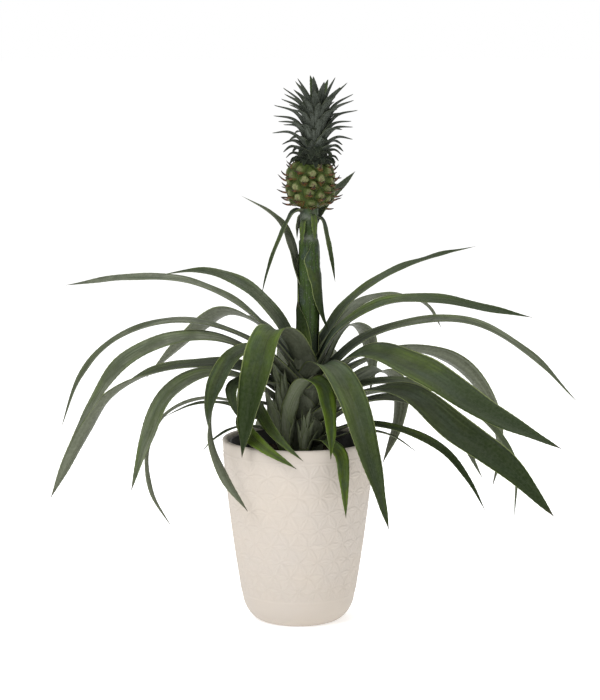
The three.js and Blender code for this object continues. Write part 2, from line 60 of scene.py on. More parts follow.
# Ceramic pot: its lip comes from the frame, and its side narrows going down.
POT_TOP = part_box("ceramic_pot")[1]
POT_HEIGHT = POT_TOP.z
POT_RIM_RADIUS = POT_TOP.x
POT_TAPER = 0.0818
POT_BULGE = 0.39
POT_WALL = 3.5 * MM
POT_FLOOR = 5 * MM
POT_FOOT_RADIUS = 27 * MM
POT_FOOT_HEIGHT = 15 * MM

# Radii of the rings of points under the pot and on the floor inside it, in millimetres, and how far
# the last one under it lies inside the foot.
UNDERSIDE_RINGS = [3, 10, 18, 24]
UNDERSIDE_MARGIN = 0.4
FLOOR_RINGS = [30, 26, 16, 6]

# Relief of the pot. A petal's rim and the slope inside it, as shares of the lattice's pitch, and the
# share of its height that its dish loses. Thin hems lie above and below the lattice.
PETAL_RIM = 0.035
PETAL_SLOPE = 0.06
PETAL_DISH = 0.7
HEM_HEIGHT = 0.7
HEM_SPREAD = 0.5 * MM
HEM_GAP = 0.8 * MM

# Growing pot and soil.
LINER_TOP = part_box("growing_pot")[1].z
LINER_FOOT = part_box("growing_pot")[0].z
LINER_RIM_RADIUS = 49 * MM
LINER_RIM_DEPTH = 4 * MM
LINER_NECK_RADIUS = 46.6 * MM
LINER_FOOT_RADIUS = 30.5 * MM
LINER_WALL = 1.2 * MM
LINER_COLUMNS = 160
SOIL_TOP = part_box("soil")[1].z
SOIL_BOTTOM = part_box("soil")[0].z
SOIL_EDGE = 116 * MM
SOIL_GAP = 0.3 * MM
SOIL_COLUMNS = 220
SOIL_ROWS = 70

# Peat. The bed's dome falls between two radii. Clods: how far out they lie, their smallest and largest
# radius in millimetres, how much of that stands up, and how far the dome sinks to make up for them.
DOME_INNER_RADIUS = 12 * MM
DOME_OUTER_RADIUS = 44 * MM
CLOD_SPREAD = 45 * MM
CLOD_RADII = (1.2, 3.6)
CLOD_RISE = 0.55
CLOD_SINK = 1.2 * MM

# Crumbs: smallest and largest radius in millimetres, and the least and greatest factor by which each
# is stretched along an axis and each of its points moves in or out.
CRUMB_RADII = (0.5, 1.5)
CRUMB_STRETCH = (0.45, 1.5)
CRUMB_DENTS = (0.75, 1.2)

# Stem and stalk: height, x and radius of each station, in millimetres.
STEM_X = 5.2
STALK_X = 7.5
STEM_STATIONS = [
    (98, 5.0, 6.5), (112, 5.1, 9.5), (150, 5.2, 9.5), (178, 5.4, 8.2), (192, 6.0, 6.6),
    (215, 6.8, 6.0), (246, 7.6, 6.4), (262, 7.2, 5.8), (272, 7.0, 5.8), (289.7, 7.4, 6.2),
]

# Joints of the stalk: height and spread of each grey ring. Collar: the heights between which the stalk
# is thicker. Rises of the collar, of a ring and of a rib, in millimetres.
STALK_JOINTS = [(269, 2.6), (283, 4.0)]
STALK_COLLAR = (195, 267.5)
COLLAR_RISE = 1.1
RING_RISE = 0.35
RIB_RISE = 0.15
STALK_RIBS = 9
STALK_COLUMNS = 48
STALK_ROWS = 180

# Fruit.
FRUIT_X = 8.2 * MM
FRUIT_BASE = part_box("fruit")[0].z
FRUIT_HEIGHT = 33.5 * MM
FRUIT_RADIUS = 15.9 * MM
FRUIT_WIDEST = 0.52
FRUIT_EYES = 48
FRUIT_COLUMNS = 264
FRUIT_ROWS = 150
SPINE_STEPS = 18

# An eye of the fruit: how far its knob reaches, its edge by the furrow and its depth there, and the
# radius, spread and height of its ring of sepals.
KNOB_REACH = 4.6 * MM
EYE_EDGE = 2.6 * MM
EYE_SINK = 0.7 * MM
SEPAL_RADIUS = 1.2 * MM
SEPAL_SPREAD = 0.6 * MM
SEPAL_HEIGHT = 0.3 * MM

# Crown: its axis at the fruit, how far it leans and over what height, and the span in millimetres that
# the feet of its leaves climb.
CROWN_X = 10.4 * MM
CROWN_LEAN = 2.6 * MM
CROWN_LEAN_HEIGHT = 22 * MM
CROWN_SPAN = 24
CROWN_BASE = FRUIT_BASE + FRUIT_HEIGHT
CROWN_LEAVES = 84
CROWN_LEAF_STEPS = 26

# Reach and rise of a crown leaf from its foot, in millimetres, for leaves from the lowest to the
# topmost.
CROWN_STAGES = [0, 0.1, 0.22, 0.36, 0.54, 0.72, 0.88, 1]
CROWN_PATHS = [
    [(7, -3.5), (11.5, -0.5), (14, -1.5), (16, -5)],
    [(6, -2), (11.5, 2), (15.5, 2.5), (19, -0.5)],
    [(4, 0), (11, 6), (16, 7.5), (23, 4)],
    [(3, 0), (10, 9), (17, 14), (29, 14)],
    [(3, 0), (9.5, 12), (16, 19), (30, 22)],
    [(3, 0), (8.5, 13), (14.5, 21.5), (28, 28)],
    [(2.5, 0), (7, 13), (11, 22), (21, 33)],
    [(1, 0), (4, 12), (6.5, 21), (10.5, 33)],
]

# Core of the crown: rise and radius of each station, in millimetres.
CROWN_CORE = [(-3, 13), (2, 9.5), (14, 7), (24, 5), (30, 2)]

# Stage: corners of the round floor, the camera's sensor in millimetres, and what the lights face.
FLOOR_CORNERS = 96
SENSOR_WIDTH = 36
PLANT_MIDDLE = (0, 0, 0.19)

# Leaf blade, in millimetres: thickness along its middle at the root and at the tip, and least width.
ROOT_THICKNESS = 1.4
TIP_THICKNESS = 0.6
TIP_WIDTH = 0.25

# Depth of a blade's channel at its root, as a share of its width. Where the light line at its margins
# starts and is full: the middle is 0 and a margin 0.5. Points across the blade and on its path.
ROOT_CUP = 0.34
MARGIN_LINE = (0.455, 0.488)
BLADE_COLUMNS = 9
PATH_STEPS = 400

# Seeds of the differences between like pieces, apart from those that are properties.
EYE_SEED = 5
STALK_LEAF_SEED = 40
STEM_SHEATH_SEED = 41
BRACT_SEED = 60
SHOOT_SEED = 80


def leaf(azimuth, width, roll, points, tone, bloom, broad=0.45, cup=0.16, clasping=True):
    """A leaf's own values. azimuth: where it points, 0 is +X and 270 the front. roll: its twist, in even
    steps from root to tip. points: reach from the stem, height, and a turn from the azimuth. tone: how
    bright and yellow its green is, partly its own colour and partly painted light, a glow where the leaf is
    lit from behind. bloom: how much pale grey lies on it, partly a waxy coat and partly painted sheen.
    broad: where along it the blade is widest. cup: how deep its channel is, as a share of its width.
    clasping: whether its foot is broad, round a stem."""
    return dict(azimuth=azimuth, width=width, roll=roll, points=points, tone=tone, bloom=bloom, broad=broad,
                cup=cup, clasping=clasping)


# Leaves of the rosette.
ROSETTE = [
    leaf(150, 13, (0, -22, -22), [(4, 176), (24, 211), (51.5, 232.5), (85, 240.5), (118, 237)], 0.3, 0.45),
    leaf(177, 13, (0, -8, -45), [(4, 172), (40, 216), (80, 236.5), (125, 239.5), (168, 234.5)], 0.2, 1.0),
    leaf(142, 18, (0, 25, 15), [(4, 166), (39, 203), (74, 209.5), (108, 189.5), (150, 156)], 0.3, 0.95),
    leaf(183, 12, (0, -9, -36),
         [(4, 164), (39, 197), (87, 210.5), (129, 200), (155.5, 174), (171, 135.5)], 0.3, 0.95),
    leaf(193, 18, (0, -5, -18, -38, -45),
         [(4, 151), (47, 193.5), (89, 200), (128, 185), (151.5, 155), (164, 134)], 0.5, 0.95),
    leaf(180, 18, (-20, -18, -6, 45, 72),
         [(4, 148), (44.5, 176.5), (80, 178.5), (114, 171), (141, 152), (160.5, 122),
          (179.5, 85)], 0.3, 0.35, broad=0.6),
    leaf(198, 18, (0, 0, -14, -40, -45),
         [(4, 138), (42, 170.5), (73.5, 175.5), (99, 163), (114.5, 133), (126, 98)], 0.65, 0.8),
    leaf(186, 8, (0, 20, 60),
         [(4, 130), (43, 152), (72, 157), (98, 146), (110, 122), (108, 92), (94, 65.5)], 0.4, 0.6),
    leaf(213, 17, (0, -12, -12, 55, 140),
         [(4, 159), (38, 192), (57, 190.5), (72.5, 170), (77, 142), (72.5, 109, 8),
          (66, 87, 20)], 0.2, 0.05),
    leaf(240, 24, (0, 0, 10),
         [(4, 176), (22, 200), (41, 208.5, -2), (54, 202.5), (58, 181.5, -4), (63, 152, -8),
          (64, 123, -13)], 0.7, 0.05, broad=0.6),
    leaf(196, 12, (0, 0, 0),
         [(4, 124), (28, 140, 2), (44, 146, 8), (52, 143, 20), (56, 135, 35), (59, 130, 47),
          (62, 118, 68)], 0.95, 0.0),
    leaf(206, 9, (0, 0, 0),
         [(4, 130), (22, 150), (36, 155, 2), (43, 148, 22), (49, 138, 39), (55, 131, 51),
          (59.5, 123, 62)], 0.8, 0.1),
    leaf(200, 6, (0, 0, 0), [(4, 120), (28, 135), (49, 139), (68, 131), (78, 121)], 0.3, 0.3),
    leaf(300, 11, (0, 0, 0),
         [(4, 119), (18, 127), (45, 132, -10), (58, 125, -6.5), (64, 110.5, -7), (66, 84, -6)], 1.0, 0.0),
    leaf(294, 22, (0, 0, 0),
         [(4, 166), (25, 182), (48, 181), (63, 163, 4.5), (74.5, 125.5, 10), (92, 79, 13)], 0.65, 0.25),
    leaf(22, 12, (5, 6, 14), [(4, 179), (29, 218.5), (60, 239), (95, 251), (131, 258)], 0.45, 0.15),
    leaf(344, 17, (25, 14, 30),
         [(4, 168), (24, 204.5), (56, 224), (91.5, 227.5), (127, 223), (159, 218.5)], 0.6, 0.12),
    leaf(40, 14, (10, 0, 0),
         [(4, 166), (29, 204.5), (56, 220), (92, 221), (116, 211.5), (130.5, 194)], 0.3, 0.9),
    leaf(356, 15, (20, 9, 28),
         [(4, 161), (38, 196), (79, 210), (117, 209), (155, 188), (189, 155)], 0.45, 0.7),
    leaf(325, 25, (0, 30, 40), [(4, 154, 5), (45, 190, 3), (90, 184), (148, 159), (201.5, 142)], 0.5, 0.1),
    leaf(20, 18, (0, -30, -15),
         [(4, 150), (38, 177), (75, 186), (115, 174), (140.5, 145), (149, 110), (144, 82)], 0.35, 0.6),
    leaf(332, 25, (0, 0, 28, 35, 40),
         [(4, 136), (40, 160), (75, 165), (117, 140), (152, 120.5), (186, 91)], 0.18, 0.15, broad=0.6),
    leaf(345, 15, (0, 10, 20), [(4, 130), (39, 154), (70, 157), (102, 141), (126, 105)], 0.35, 0.85),
    leaf(2, 14, (0, 20, 30),
         [(4, 143), (41, 165), (76, 165), (114, 149), (145, 112), (147.5, 68.5)], 0.45, 0.5),
    leaf(40, 21, (0, 0, 0),
         [(4, 132), (41, 158), (70, 168), (86.5, 156), (86, 130.5), (72.5, 100.5)], 0.35, 0.9),
    leaf(60, 19, (0, 0, 0),
         [(4, 154), (34, 192.5, 1), (65, 200, 3), (94, 189, 2), (103, 163, 1.5), (95, 147)], 0.3, 0.8),
    leaf(335, 9, (0, 20, 40),
         [(4, 122), (34, 139), (71, 139), (103, 127), (121.5, 108), (134, 88)], 0.4, 0.1),
    leaf(345, 5, (0, 0, 0), [(4, 120), (35, 134), (60, 133), (82, 120)], 0.4, 0.2),
    leaf(78, 16, (0, 0, 0), [(4, 140), (36, 172), (70, 178), (96, 152), (104, 112)], 0.4, 0.5),
    leaf(100, 16, (0, 0, 0), [(4, 150), (34, 182), (66, 186), (92, 160), (104, 122)], 0.5, 0.4),
    leaf(120, 15, (0, 0, 0), [(4, 136), (36, 168), (68, 172), (90, 148), (98, 110)], 0.35, 0.5),
    leaf(90, 12, (0, 0, 0), [(4, 126), (30, 146), (56, 150), (76, 130), (82, 98)], 0.6, 0.3),
    leaf(110, 12, (0, 0, 0), [(4, 124), (32, 142), (58, 144), (74, 126), (78, 100)], 0.5, 0.4),
    leaf(62, 12, (0, 0, 0), [(4, 122), (30, 138), (56, 142), (78, 124), (84, 88)], 0.7, 0.3),
    leaf(120, 10, (0, 0, 0), [(4, 118), (28, 134), (50, 138), (66, 128), (74, 108)], 0.5, 0.4),
    leaf(219, 14, (0, -10, -30),
         [(4, 148), (30, 169), (51.5, 173), (64, 170), (63.5, 159.5), (58, 147)], 0.2, 0.3),
    leaf(170, 7, (0, -6, -12),
         [(4, 121), (30, 139), (57.5, 150.5), (73.5, 150.5), (83, 148.5), (92.5, 144.5),
          (104, 138.5)], 0.5, 0.3),
]

# Leaves of the stalk, in the same terms.
STALK_LEAVES = [
    leaf(170, 10, (0, -30, 0),
         [(3, 224), (9, 244), (13, 262), (19, 277), (30, 287), (48, 297)], 0.3, 1.0, broad=0.3),
    leaf(320, 16, (0, 0, 0),
         [(2, 268), (3, 262), (6.2, 250), (8.6, 238, 4), (9.7, 226, 8), (11.4, 214, 16),
          (14, 203, 26)], 0.25, 0.0, broad=0.2, cup=-0.2, clasping=False),
    leaf(205, 6, (0, 0, 0),
         [(3, 285), (8, 287.5), (12.5, 286), (15.5, 282), (22.4, 268.5), (27.2, 258), (33, 242),
          (36.2, 230)], 0.4, 0.0),
    leaf(340, 4.5, (0, 30, 30), [(3, 283), (9, 281.5), (12.5, 270), (16, 254.5), (19, 238)], 0.4, 0.1),
    leaf(55, 7.5, (0, 30, 30),
         [(3, 270), (14.8, 287), (27.4, 296.7), (40.7, 302.8), (57, 311.5)], 0.3, 0.2, clasping=False),
]

# The leaf of the first side shoot that arches over the pot's lip.
SHOOT_ARCH = leaf(300, 16, (0, 0, 0),
                  [(0.5, 122, 0), (5.5, 150, -12), (14, 166, 4), (25, 175, 8), (37, 171, 10), (45, 160, 7),
                   (50, 143, 6), (53, 125, 4)], 0.95, 0.0, broad=0.5, clasping=False)

# Tall leaves of the first side shoot.
SHOOT_BLADES = [
    leaf(182, 10, (75, 62, 50), [(0.5, 117), (2, 140), (5.5, 164), (10.7, 187)], 0.8, 0.8, broad=0.4,
         clasping=False),
    leaf(188, 10, (80, 65, 45), [(1, 117), (5.5, 134), (10.5, 150), (15.5, 167)], 0.7, 1.0, broad=0.4,
         clasping=False),
    leaf(230, 9, (20, 30, 20), [(1.5, 118), (2.6, 140), (2.8, 160), (2.4, 180)], 0.8, 0.8, broad=0.4,
         clasping=False),
]

# Side shoots: foot, height of the inner leaves, how far their tips lean along X, number of leaves,
# their width, and the leaves that have a path of their own.
SHOOTS = [
    dict(foot=(-8, -20), height=60, lean=-7, leaves=13, width=7.5, extra=[SHOOT_ARCH, *SHOOT_BLADES]),
    dict(foot=(4, -23), height=34, lean=3, leaves=11, width=5.6, extra=[]),
]
SHOOT_RADIUS = 4

# Bracts under the fruit: azimuth and foot height of each. They share one width, and one path of reach
# from the stalk and rise from the foot.
BRACTS = [(145, 284), (240, 281), (290, 285), (100, 282), (124, 284)]
BRACT_WIDTH = 4.2
BRACT_POINTS = [(3, -3), (7.2, 0), (9.4, -8), (10.4, -17)]

# Sheaths round the stalk: the turn each faces, its foot and tip heights, and the angle that it wraps.
SHEATHS = [(215, 176, 226, 170), (60, 184, 240, 160), (130, 204, 262, 170)]
SHEATH_THICKNESS = 0.55 * MM

# Leaf bases round the stem below: how many, the angle that each wraps, and for the lowest and the
# highest the height of its foot, its length and how far its tip leans out, in millimetres.
STEM_SHEATHS = 18
STEM_SHEATH_WRAP = 160
STEM_SHEATH_FEET = (110, 176)
STEM_SHEATH_LENGTHS = (34, 26)
STEM_SHEATH_LEANS = (9, 4)
STEM_SHEATH_THICKNESS = 0.8 * MM


def mix(a, b, t):
    return a + (b - a) * t


def smooth(t):
    """Rises from 0 to 1 with level ends: 3t^2 - 2t^3."""
    t = np.clip(t, 0, 1)
    return t * t * (3 - 2 * t)


def full_turn(count):
    """Angles spread evenly round a circle."""
    return np.linspace(0, 2 * math.pi, count, endpoint=False)


def bell(distance, spread):
    """A smooth bump: exp(-(distance / spread)^2)."""
    return np.exp(-(distance / spread) ** 2)


class Shape:
    """Points, faces, a UV pair at each point and named values at each point, all as whole arrays."""

    def __init__(self, points, quads, triangles, uv, layers):
        self.points, self.quads, self.triangles = points, quads, triangles
        self.uv, self.layers = uv, layers


def constant_layers(**values):
    """Layers that hold one value all over a shape."""
    return {name: np.full((1, 1), value) for name, value in values.items()}


def joined(shapes):
    """Several shapes as one: the arrays end to end, with each shape's faces counted on from the one
    before."""
    starts = np.cumsum([0] + [len(s.points) for s in shapes[:-1]])
    return Shape(
        np.concatenate([s.points for s in shapes]),
        np.concatenate([s.quads + n for s, n in zip(shapes, starts)]),
        np.concatenate([s.triangles + n for s, n in zip(shapes, starts)]),
        np.concatenate([s.uv for s in shapes]),
        {k: np.concatenate([s.layers[k] for s in shapes]) for k in shapes[0].layers},
    )


def quad_rows(rows, columns, flip):
    """Quads of a grid of closed rings: a point, the next on its ring, and the two above them."""
    first = np.arange(rows - 1)[:, None] * columns
    near = first + np.arange(columns)
    far = first + (np.arange(columns) + 1) % columns
    corners = (near, far, far + columns, near + columns)
    return np.stack(corners[::-1] if flip else corners, -1).reshape(-1, 4)


def fan(ring, centre, flip):
    """Triangles from one centre point to each side of a closed ring."""
    corners = (np.full(len(ring), centre), ring, np.roll(ring, -1))
    return np.stack(corners[::-1] if flip else corners, -1)


def closed_rings(rings, uv, layers, flip=False):
    """A grid of closed rings, with the first and the last filled by a fan to their middle point."""
    rows, columns = rings.shape[:2]
    count = rows * columns

    def with_ends(grid):
        flat = grid.reshape(count, -1)
        return np.concatenate([flat, grid[[0, -1]].mean(axis=1).reshape(2, -1)])

    triangles = [fan(np.arange(columns), count, not flip),
                 fan(np.arange(count - columns, count), count + 1, flip)]
    return Shape(with_ends(rings), quad_rows(rows, columns, flip), np.concatenate(triangles), with_ends(uv),
                 {k: with_ends(np.broadcast_to(v, (rows, columns))).ravel() for k, v in layers.items()})


def ring_points(x, radius, turn, height):
    """Points (x + r cos a, r sin a, height) round upright axes at x."""
    return np.stack(np.broadcast_arrays(x + radius * np.cos(turn), radius * np.sin(turn), height), -1)


def lathe(radius, height, columns, layers=None, x=0.0):
    """A profile turned about an upright axis at x, which may shift from row to row. radius holds one
    value for each row, or one for each row and column where the wall has relief."""
    turn = full_turn(columns)
    radius = radius if radius.ndim == 2 else radius[:, None]
    height = height if height.ndim == 2 else height[:, None]
    rings = ring_points(x, radius, turn, height)
    rows = len(rings)
    uv = np.stack(np.broadcast_arrays(turn / (2 * math.pi), np.linspace(0, 1, rows)[:, None]), -1)
    return closed_rings(rings, uv, layers or {})


def shell(top, bottom, along, layers):
    """A closed sheet from the grids of its two faces, which meet in their first and last columns. UV
    runs across and along it, and the layer under is 0 on the top, 1 beneath and a half at the
    margins."""
    columns = top.shape[1]
    rings = np.concatenate([top, bottom[:, -2:0:-1]], axis=1)
    across = np.linspace(0, 1, columns)
    across = np.concatenate([across, across[-2:0:-1]])
    uv = np.stack(np.broadcast_arrays(across, along[:, None]), -1)
    under = np.concatenate([[0.5], np.zeros(columns - 2), [0.5], np.ones(columns - 2)])
    return closed_rings(rings, uv, {"under": under, **layers}, flip=True)


def smooth_path(points, steps=24):
    """A centripetal Catmull-Rom curve: between two points a cubic, whose end slopes weigh the
    neighbouring chords by the square roots of their lengths."""
    p = np.array(points, float)
    p = np.concatenate([[2 * p[0] - p[1]], p, [2 * p[-1] - p[-2]]])
    p0, p1, p2, p3 = p[:-3], p[1:-2], p[2:-1], p[3:]
    gaps = np.linalg.norm(np.diff(p, axis=0), axis=1)[:, None] ** 0.5
    d0, d1, d2 = gaps[:-2], gaps[1:-1], gaps[2:]
    slope1 = d1 * ((p1 - p0) / d0 - (p2 - p0) / (d0 + d1) + (p2 - p1) / d1)
    slope2 = d1 * ((p2 - p1) / d1 - (p3 - p1) / (d1 + d2) + (p3 - p2) / d2)
    square = 3 * (p2 - p1) - 2 * slope1 - slope2
    cube = 2 * (p1 - p2) + slope1 + slope2
    t = np.linspace(0, 1, steps, endpoint=False)[:, None, None]
    curve = p1 + slope1 * t + square * t ** 2 + cube * t ** 3
    return np.concatenate([curve.transpose(1, 0, 2).reshape(-1, 3), points[-1:]])


def distances(line):
    """How far along a line each of its points lies."""
    return np.concatenate([[0], np.cumsum(np.linalg.norm(np.diff(line, axis=0), axis=1))])


def evenly(line, count):
    """count + 1 points at equal distances along a line."""
    run = distances(line)
    at = np.linspace(0, run[-1], count + 1)
    return np.stack([np.interp(at, run, line[:, k]) for k in range(3)], -1)


def unit(vectors):
    return vectors / np.linalg.norm(vectors, axis=-1, keepdims=True)


def frames(line, side):
    """Two directions at each point of a path: across it on the given side, and up."""
    along = unit(np.gradient(line, axis=0))
    across = unit(side - (side * along).sum(-1, keepdims=True) * along)
    return across, np.cross(along, across)


def ribbon(line, across, up, width, cup, thickness, layers, columns, teeth=None, waves=None):
    """A blade along a path. A point k half-widths across, with k from -1 to 1, rises by cup * width *
    |k|^1.4, and the underside lies below it by thickness * sqrt(1 - k^2). teeth push the margins out,
    and waves lift them by their value times k^2."""
    k = np.linspace(-1, 1, columns)
    reach = k * width[:, None] / 2
    if teeth is not None:
        reach = reach + np.trunc(k) * teeth[:, None]
    lift = cup[:, None] * width[:, None] * np.abs(k) ** 1.4
    if waves is not None:
        lift = lift + waves * k ** 2
    depth = thickness[:, None] * np.sqrt(1 - k ** 2)
    middle = line[:, None, :] + across[:, None, :] * reach[:, :, None]
    faces = [middle + up[:, None, :] * (lift + side * depth / 2)[:, :, None] for side in (1, -1)]
    return shell(faces[0], faces[1], np.linspace(0, 1, len(line)), layers)


def leaf_width(s, width, broad, clasping):
    """Width along a leaf. Its root is 5 mm and 0.6 of the full width where it clasps a stem, or else
    0.45 of it. It is full at the share "broad" of the length, and then narrows to a point."""
    root = np.minimum(width, 5 + 0.6 * width) if clasping else 0.45 * width
    opening = mix(root, width, smooth(s / broad))
    closing = width * (1 - np.clip((s - broad) / (1 - broad), 0, 1) ** 1.8)
    return np.maximum(np.where(s < broad, opening, closing), TIP_WIDTH)


def blade(row, foot, seed, looks):
    """One leaf on its midline, with a toothed and gently waved margin: two stations for each tooth."""
    azimuth = np.radians([row["azimuth"] + (p[2] if len(p) > 2 else 0) for p in row["points"]])
    reach, height = np.array([p[:2] for p in row["points"]], float).T
    points = np.stack([foot[0] + reach * np.cos(azimuth), foot[1] + reach * np.sin(azimuth), height], -1)
    path = smooth_path(points)
    count = 2 * int(distances(path)[-1] / (2 * looks.tooth_pitch / MM)) + 8
    line = evenly(evenly(path, PATH_STEPS), count)
    s = np.linspace(0, 1, count + 1)
    away = line - np.array([*foot, 0])
    side = np.stack([-away[:, 1], away[:, 0], 0 * s], -1)
    across, up = frames(line, side)
    roll = np.radians(np.interp(s, np.linspace(0, 1, len(row["roll"])), row["roll"]))[:, None]
    across, up = across * np.cos(roll) + up * np.sin(roll), up * np.cos(roll) - across * np.sin(roll)
    width = leaf_width(s, row["width"], row["broad"], row["clasping"])
    cup = mix(ROOT_CUP, row["cup"], smooth(s / 0.25))
    thickness = mix(ROOT_THICKNESS, TIP_THICKNESS, s) * smooth(width / 3)
    teeth = looks.tooth_height / MM * (np.arange(count + 1) % 2) * smooth(width / 4)
    rng = np.random.default_rng(seed)
    k = np.linspace(-1, 1, BLADE_COLUMNS)
    bends = rng.uniform(2, 6, 3)[:, None, None] * s[:, None] + rng.uniform(0, 1, (3, 1, 1)) + 0.2 * k
    waves = looks.ripple / MM * np.sin(2 * math.pi * bends).sum(0) * smooth(width / 8)[:, None]
    layers = constant_layers(tone=row["tone"], bloom=row["bloom"], own=rng.uniform())
    shape = ribbon(line, across, up, width, cup, thickness, layers, BLADE_COLUMNS, teeth, waves)
    shape.points *= MM
    return shape


def linked(name, data):
    """A new object in the scene."""
    made = bpy.data.objects.new(name, data)
    bpy.context.scene.collection.objects.link(made)
    return made


def put(name, shape, material, replaced=(), rounded=True):
    """Makes a mesh object of a shape. It rides on the body and stands for the CAD nodes that it
    replaces."""
    corners = np.concatenate([shape.quads.ravel(), shape.triangles.ravel()]).astype(np.int32)
    fours, threes = len(shape.quads), len(shape.triangles)
    starts = np.concatenate([4 * np.arange(fours), 4 * fours + 3 * np.arange(threes)]).astype(np.int32)
    mesh = bpy.data.meshes.new(name)
    mesh.vertices.add(len(shape.points))
    mesh.vertices.foreach_set("co", shape.points.astype(np.float32).ravel())
    mesh.loops.add(len(corners))
    mesh.loops.foreach_set("vertex_index", corners)
    mesh.polygons.add(fours + threes)
    mesh.polygons.foreach_set("loop_start", starts)
    mesh.polygons.foreach_set("use_smooth", np.full(fours + threes, rounded))
    mesh.update(calc_edges=True)
    mesh.uv_layers.new(name="UVMap").data.foreach_set("uv", shape.uv[corners].astype(np.float32).ravel())
    for key, values in shape.layers.items():
        mesh.attributes.new(key, "FLOAT", "POINT").data.foreach_set("value", values.astype(np.float32))
    mesh.materials.append(material)
    piece = linked(name, mesh)
    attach(piece, BODY)
    if replaced:
        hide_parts(*replaced)


def node(tree, kind, inputs=None, **settings):
    """One shader node: its inputs take a number, a colour or another node's output."""
    made = tree.nodes.new("ShaderNode" + kind)
    for name, value in settings.items():
        setattr(made, name, value)
    for name, value in (inputs or {}).items():
        if isinstance(value, bpy.types.NodeSocket):
            tree.links.new(value, made.inputs[name])
        else:
            made.inputs[name].default_value = value
    return made


def noise(tree, place, scale, detail, roughness=0.5):
    return node(tree, "TexNoise", {"Vector": place, "Scale": scale, "Detail": detail,
                                   "Roughness": roughness}).outputs["Fac"]


def maths(tree, operation, first, second=0.0):
    return node(tree, "Math", {0: first, 1: second}, operation=operation).outputs[0]


def times(tree, first, second):
    return maths(tree, "MULTIPLY", first, second)


def plus(tree, first, second, share=None):
    """The first value plus the second, or plus a share of the second."""
    return maths(tree, "ADD", first, second if share is None else times(tree, second, share))


def eased(tree, value, low, high):
    """0 at low and 1 at high, with level ends."""
    made = node(tree, "MapRange", {"Value": value, "From Min": low, "From Max": high},
                interpolation_type="SMOOTHSTEP")
    return made.outputs["Result"]


def rgba(colour):
    return (*colour, 1.0)


def blended(tree, share, first, second):
    """A colour between two, each a plain colour or another node's output."""
    ends = [end if isinstance(end, bpy.types.NodeSocket) else rgba(end) for end in (first, second)]
    return node(tree, "Mix", {0: share, 6: ends[0], 7: ends[1]}, data_type="RGBA").outputs[2]


def painted(tree, colour, *coats):
    """A colour under coats: each has the share that it covers, from 0 to 1, and its own colour."""
    for share, coat in coats:
        colour = blended(tree, share, colour, coat)
    return colour


def layer(tree, name):
    return node(tree, "Attribute", attribute_name=name).outputs["Fac"]


def node_group(name, inputs, outputs, build):
    """A shader node group, built once. build(tree, given) returns a value for each output."""
    if name in bpy.data.node_groups:
        return bpy.data.node_groups[name]
    tree = bpy.data.node_groups.new(name, "ShaderNodeTree")
    for key, value in inputs.items():
        tree.interface.new_socket(key, in_out="INPUT", socket_type="NodeSocketFloat").default_value = value
    for key in outputs:
        tree.interface.new_socket(key, in_out="OUTPUT", socket_type="NodeSocketFloat")
    given = tree.nodes.new("NodeGroupInput").outputs
    taken = tree.nodes.new("NodeGroupOutput").inputs
    for key, value in build(tree, given).items():
        tree.links.new(value, taken[key])
    return tree


def placed(tree, group, values):
    """A group's outputs, once it is placed in a material with values of its own."""
    return node(tree, "Group", values, node_tree=group).outputs


def mottled(tree, scale, detail=3.0):
    """Cloudy patches from the mottle group."""
    return placed(tree, mottle_group(), {"Scale": scale, "Detail": detail})["Patch"]


def mottle_group():
    """Uneven cloudy patches in the object's own space, from 0 to 1."""
    def build(tree, given):
        coords = node(tree, "TexCoord").outputs["Object"]
        cloud = noise(tree, coords, given["Scale"], given["Detail"], roughness=0.6)
        return {"Patch": eased(tree, cloud, 0.3, 0.7)}
    return node_group("Mottle", {"Scale": 60.0, "Detail": 3.0}, ["Patch"], build)


def fibre_group():
    """What follows a leaf's own surface: parallel streaks, long patches, its margins, its middle and
    how far along it is. The streaks and patches are noise stretched along the leaf, shifted by the
    leaf's own value."""
    def build(tree, given):
        uv = node(tree, "UVMap", uv_map="UVMap").outputs["UV"]
        split = node(tree, "SeparateXYZ", {0: uv}).outputs
        own = times(tree, layer(tree, "own"), 40.0)

        def stretched(across, along, shift, detail):
            place = node(tree, "CombineXYZ", {
                "X": times(tree, split["X"], across),
                "Y": times(tree, split["Y"], along),
                "Z": plus(tree, own, shift)}).outputs[0]
            return noise(tree, place, scale=1.0, detail=detail)

        off = maths(tree, "ABSOLUTE", maths(tree, "SUBTRACT", split["X"], 0.5))
        return {
            "Streak": eased(tree, stretched(given["Streaks"], given["Length"], 0.0, 3.0), 0.33, 0.67),
            "Patch": eased(tree, stretched(1.6, 5.0, 7.0, 3.0), 0.36, 0.64),
            "Cloud": eased(tree, stretched(2.4, 8.0, 13.0, 4.0), 0.42, 0.66),
            "Margin": eased(tree, off, given["Margin"], MARGIN_LINE[1]),
            "Middle": eased(tree, off, 0.4, 0.04),
            "Along": split["Y"],
        }
    return node_group("Leaf fibre", {"Streaks": 11.0, "Length": 2.5, "Margin": MARGIN_LINE[0]},
                      ["Streak", "Patch", "Cloud", "Margin", "Middle", "Along"], build)


def material_of(name, build, constants, bump=0.3, distance=0.0003):
    """A material: build(tree) returns what varies over the surface, and constants are set on the
    shader's own sockets. Height feeds a bump."""
    if name in bpy.data.materials:
        return bpy.data.materials[name]
    material = bpy.data.materials.new(name)
    material.use_nodes = True
    tree = material.node_tree
    tree.nodes.clear()
    shader = tree.nodes.new("ShaderNodeBsdfPrincipled")
    output = tree.nodes.new("ShaderNodeOutputMaterial")
    tree.links.new(shader.outputs[0], output.inputs["Surface"])
    for key, value in constants.items():
        shader.inputs[key].default_value = value
    for key, value in build(tree).items():
        if key == "Height":
            value = node(tree, "Bump", {"Height": value, "Strength": bump, "Distance": distance}).outputs[0]
            key = "Normal"
        tree.links.new(value, shader.inputs[key])
    return material


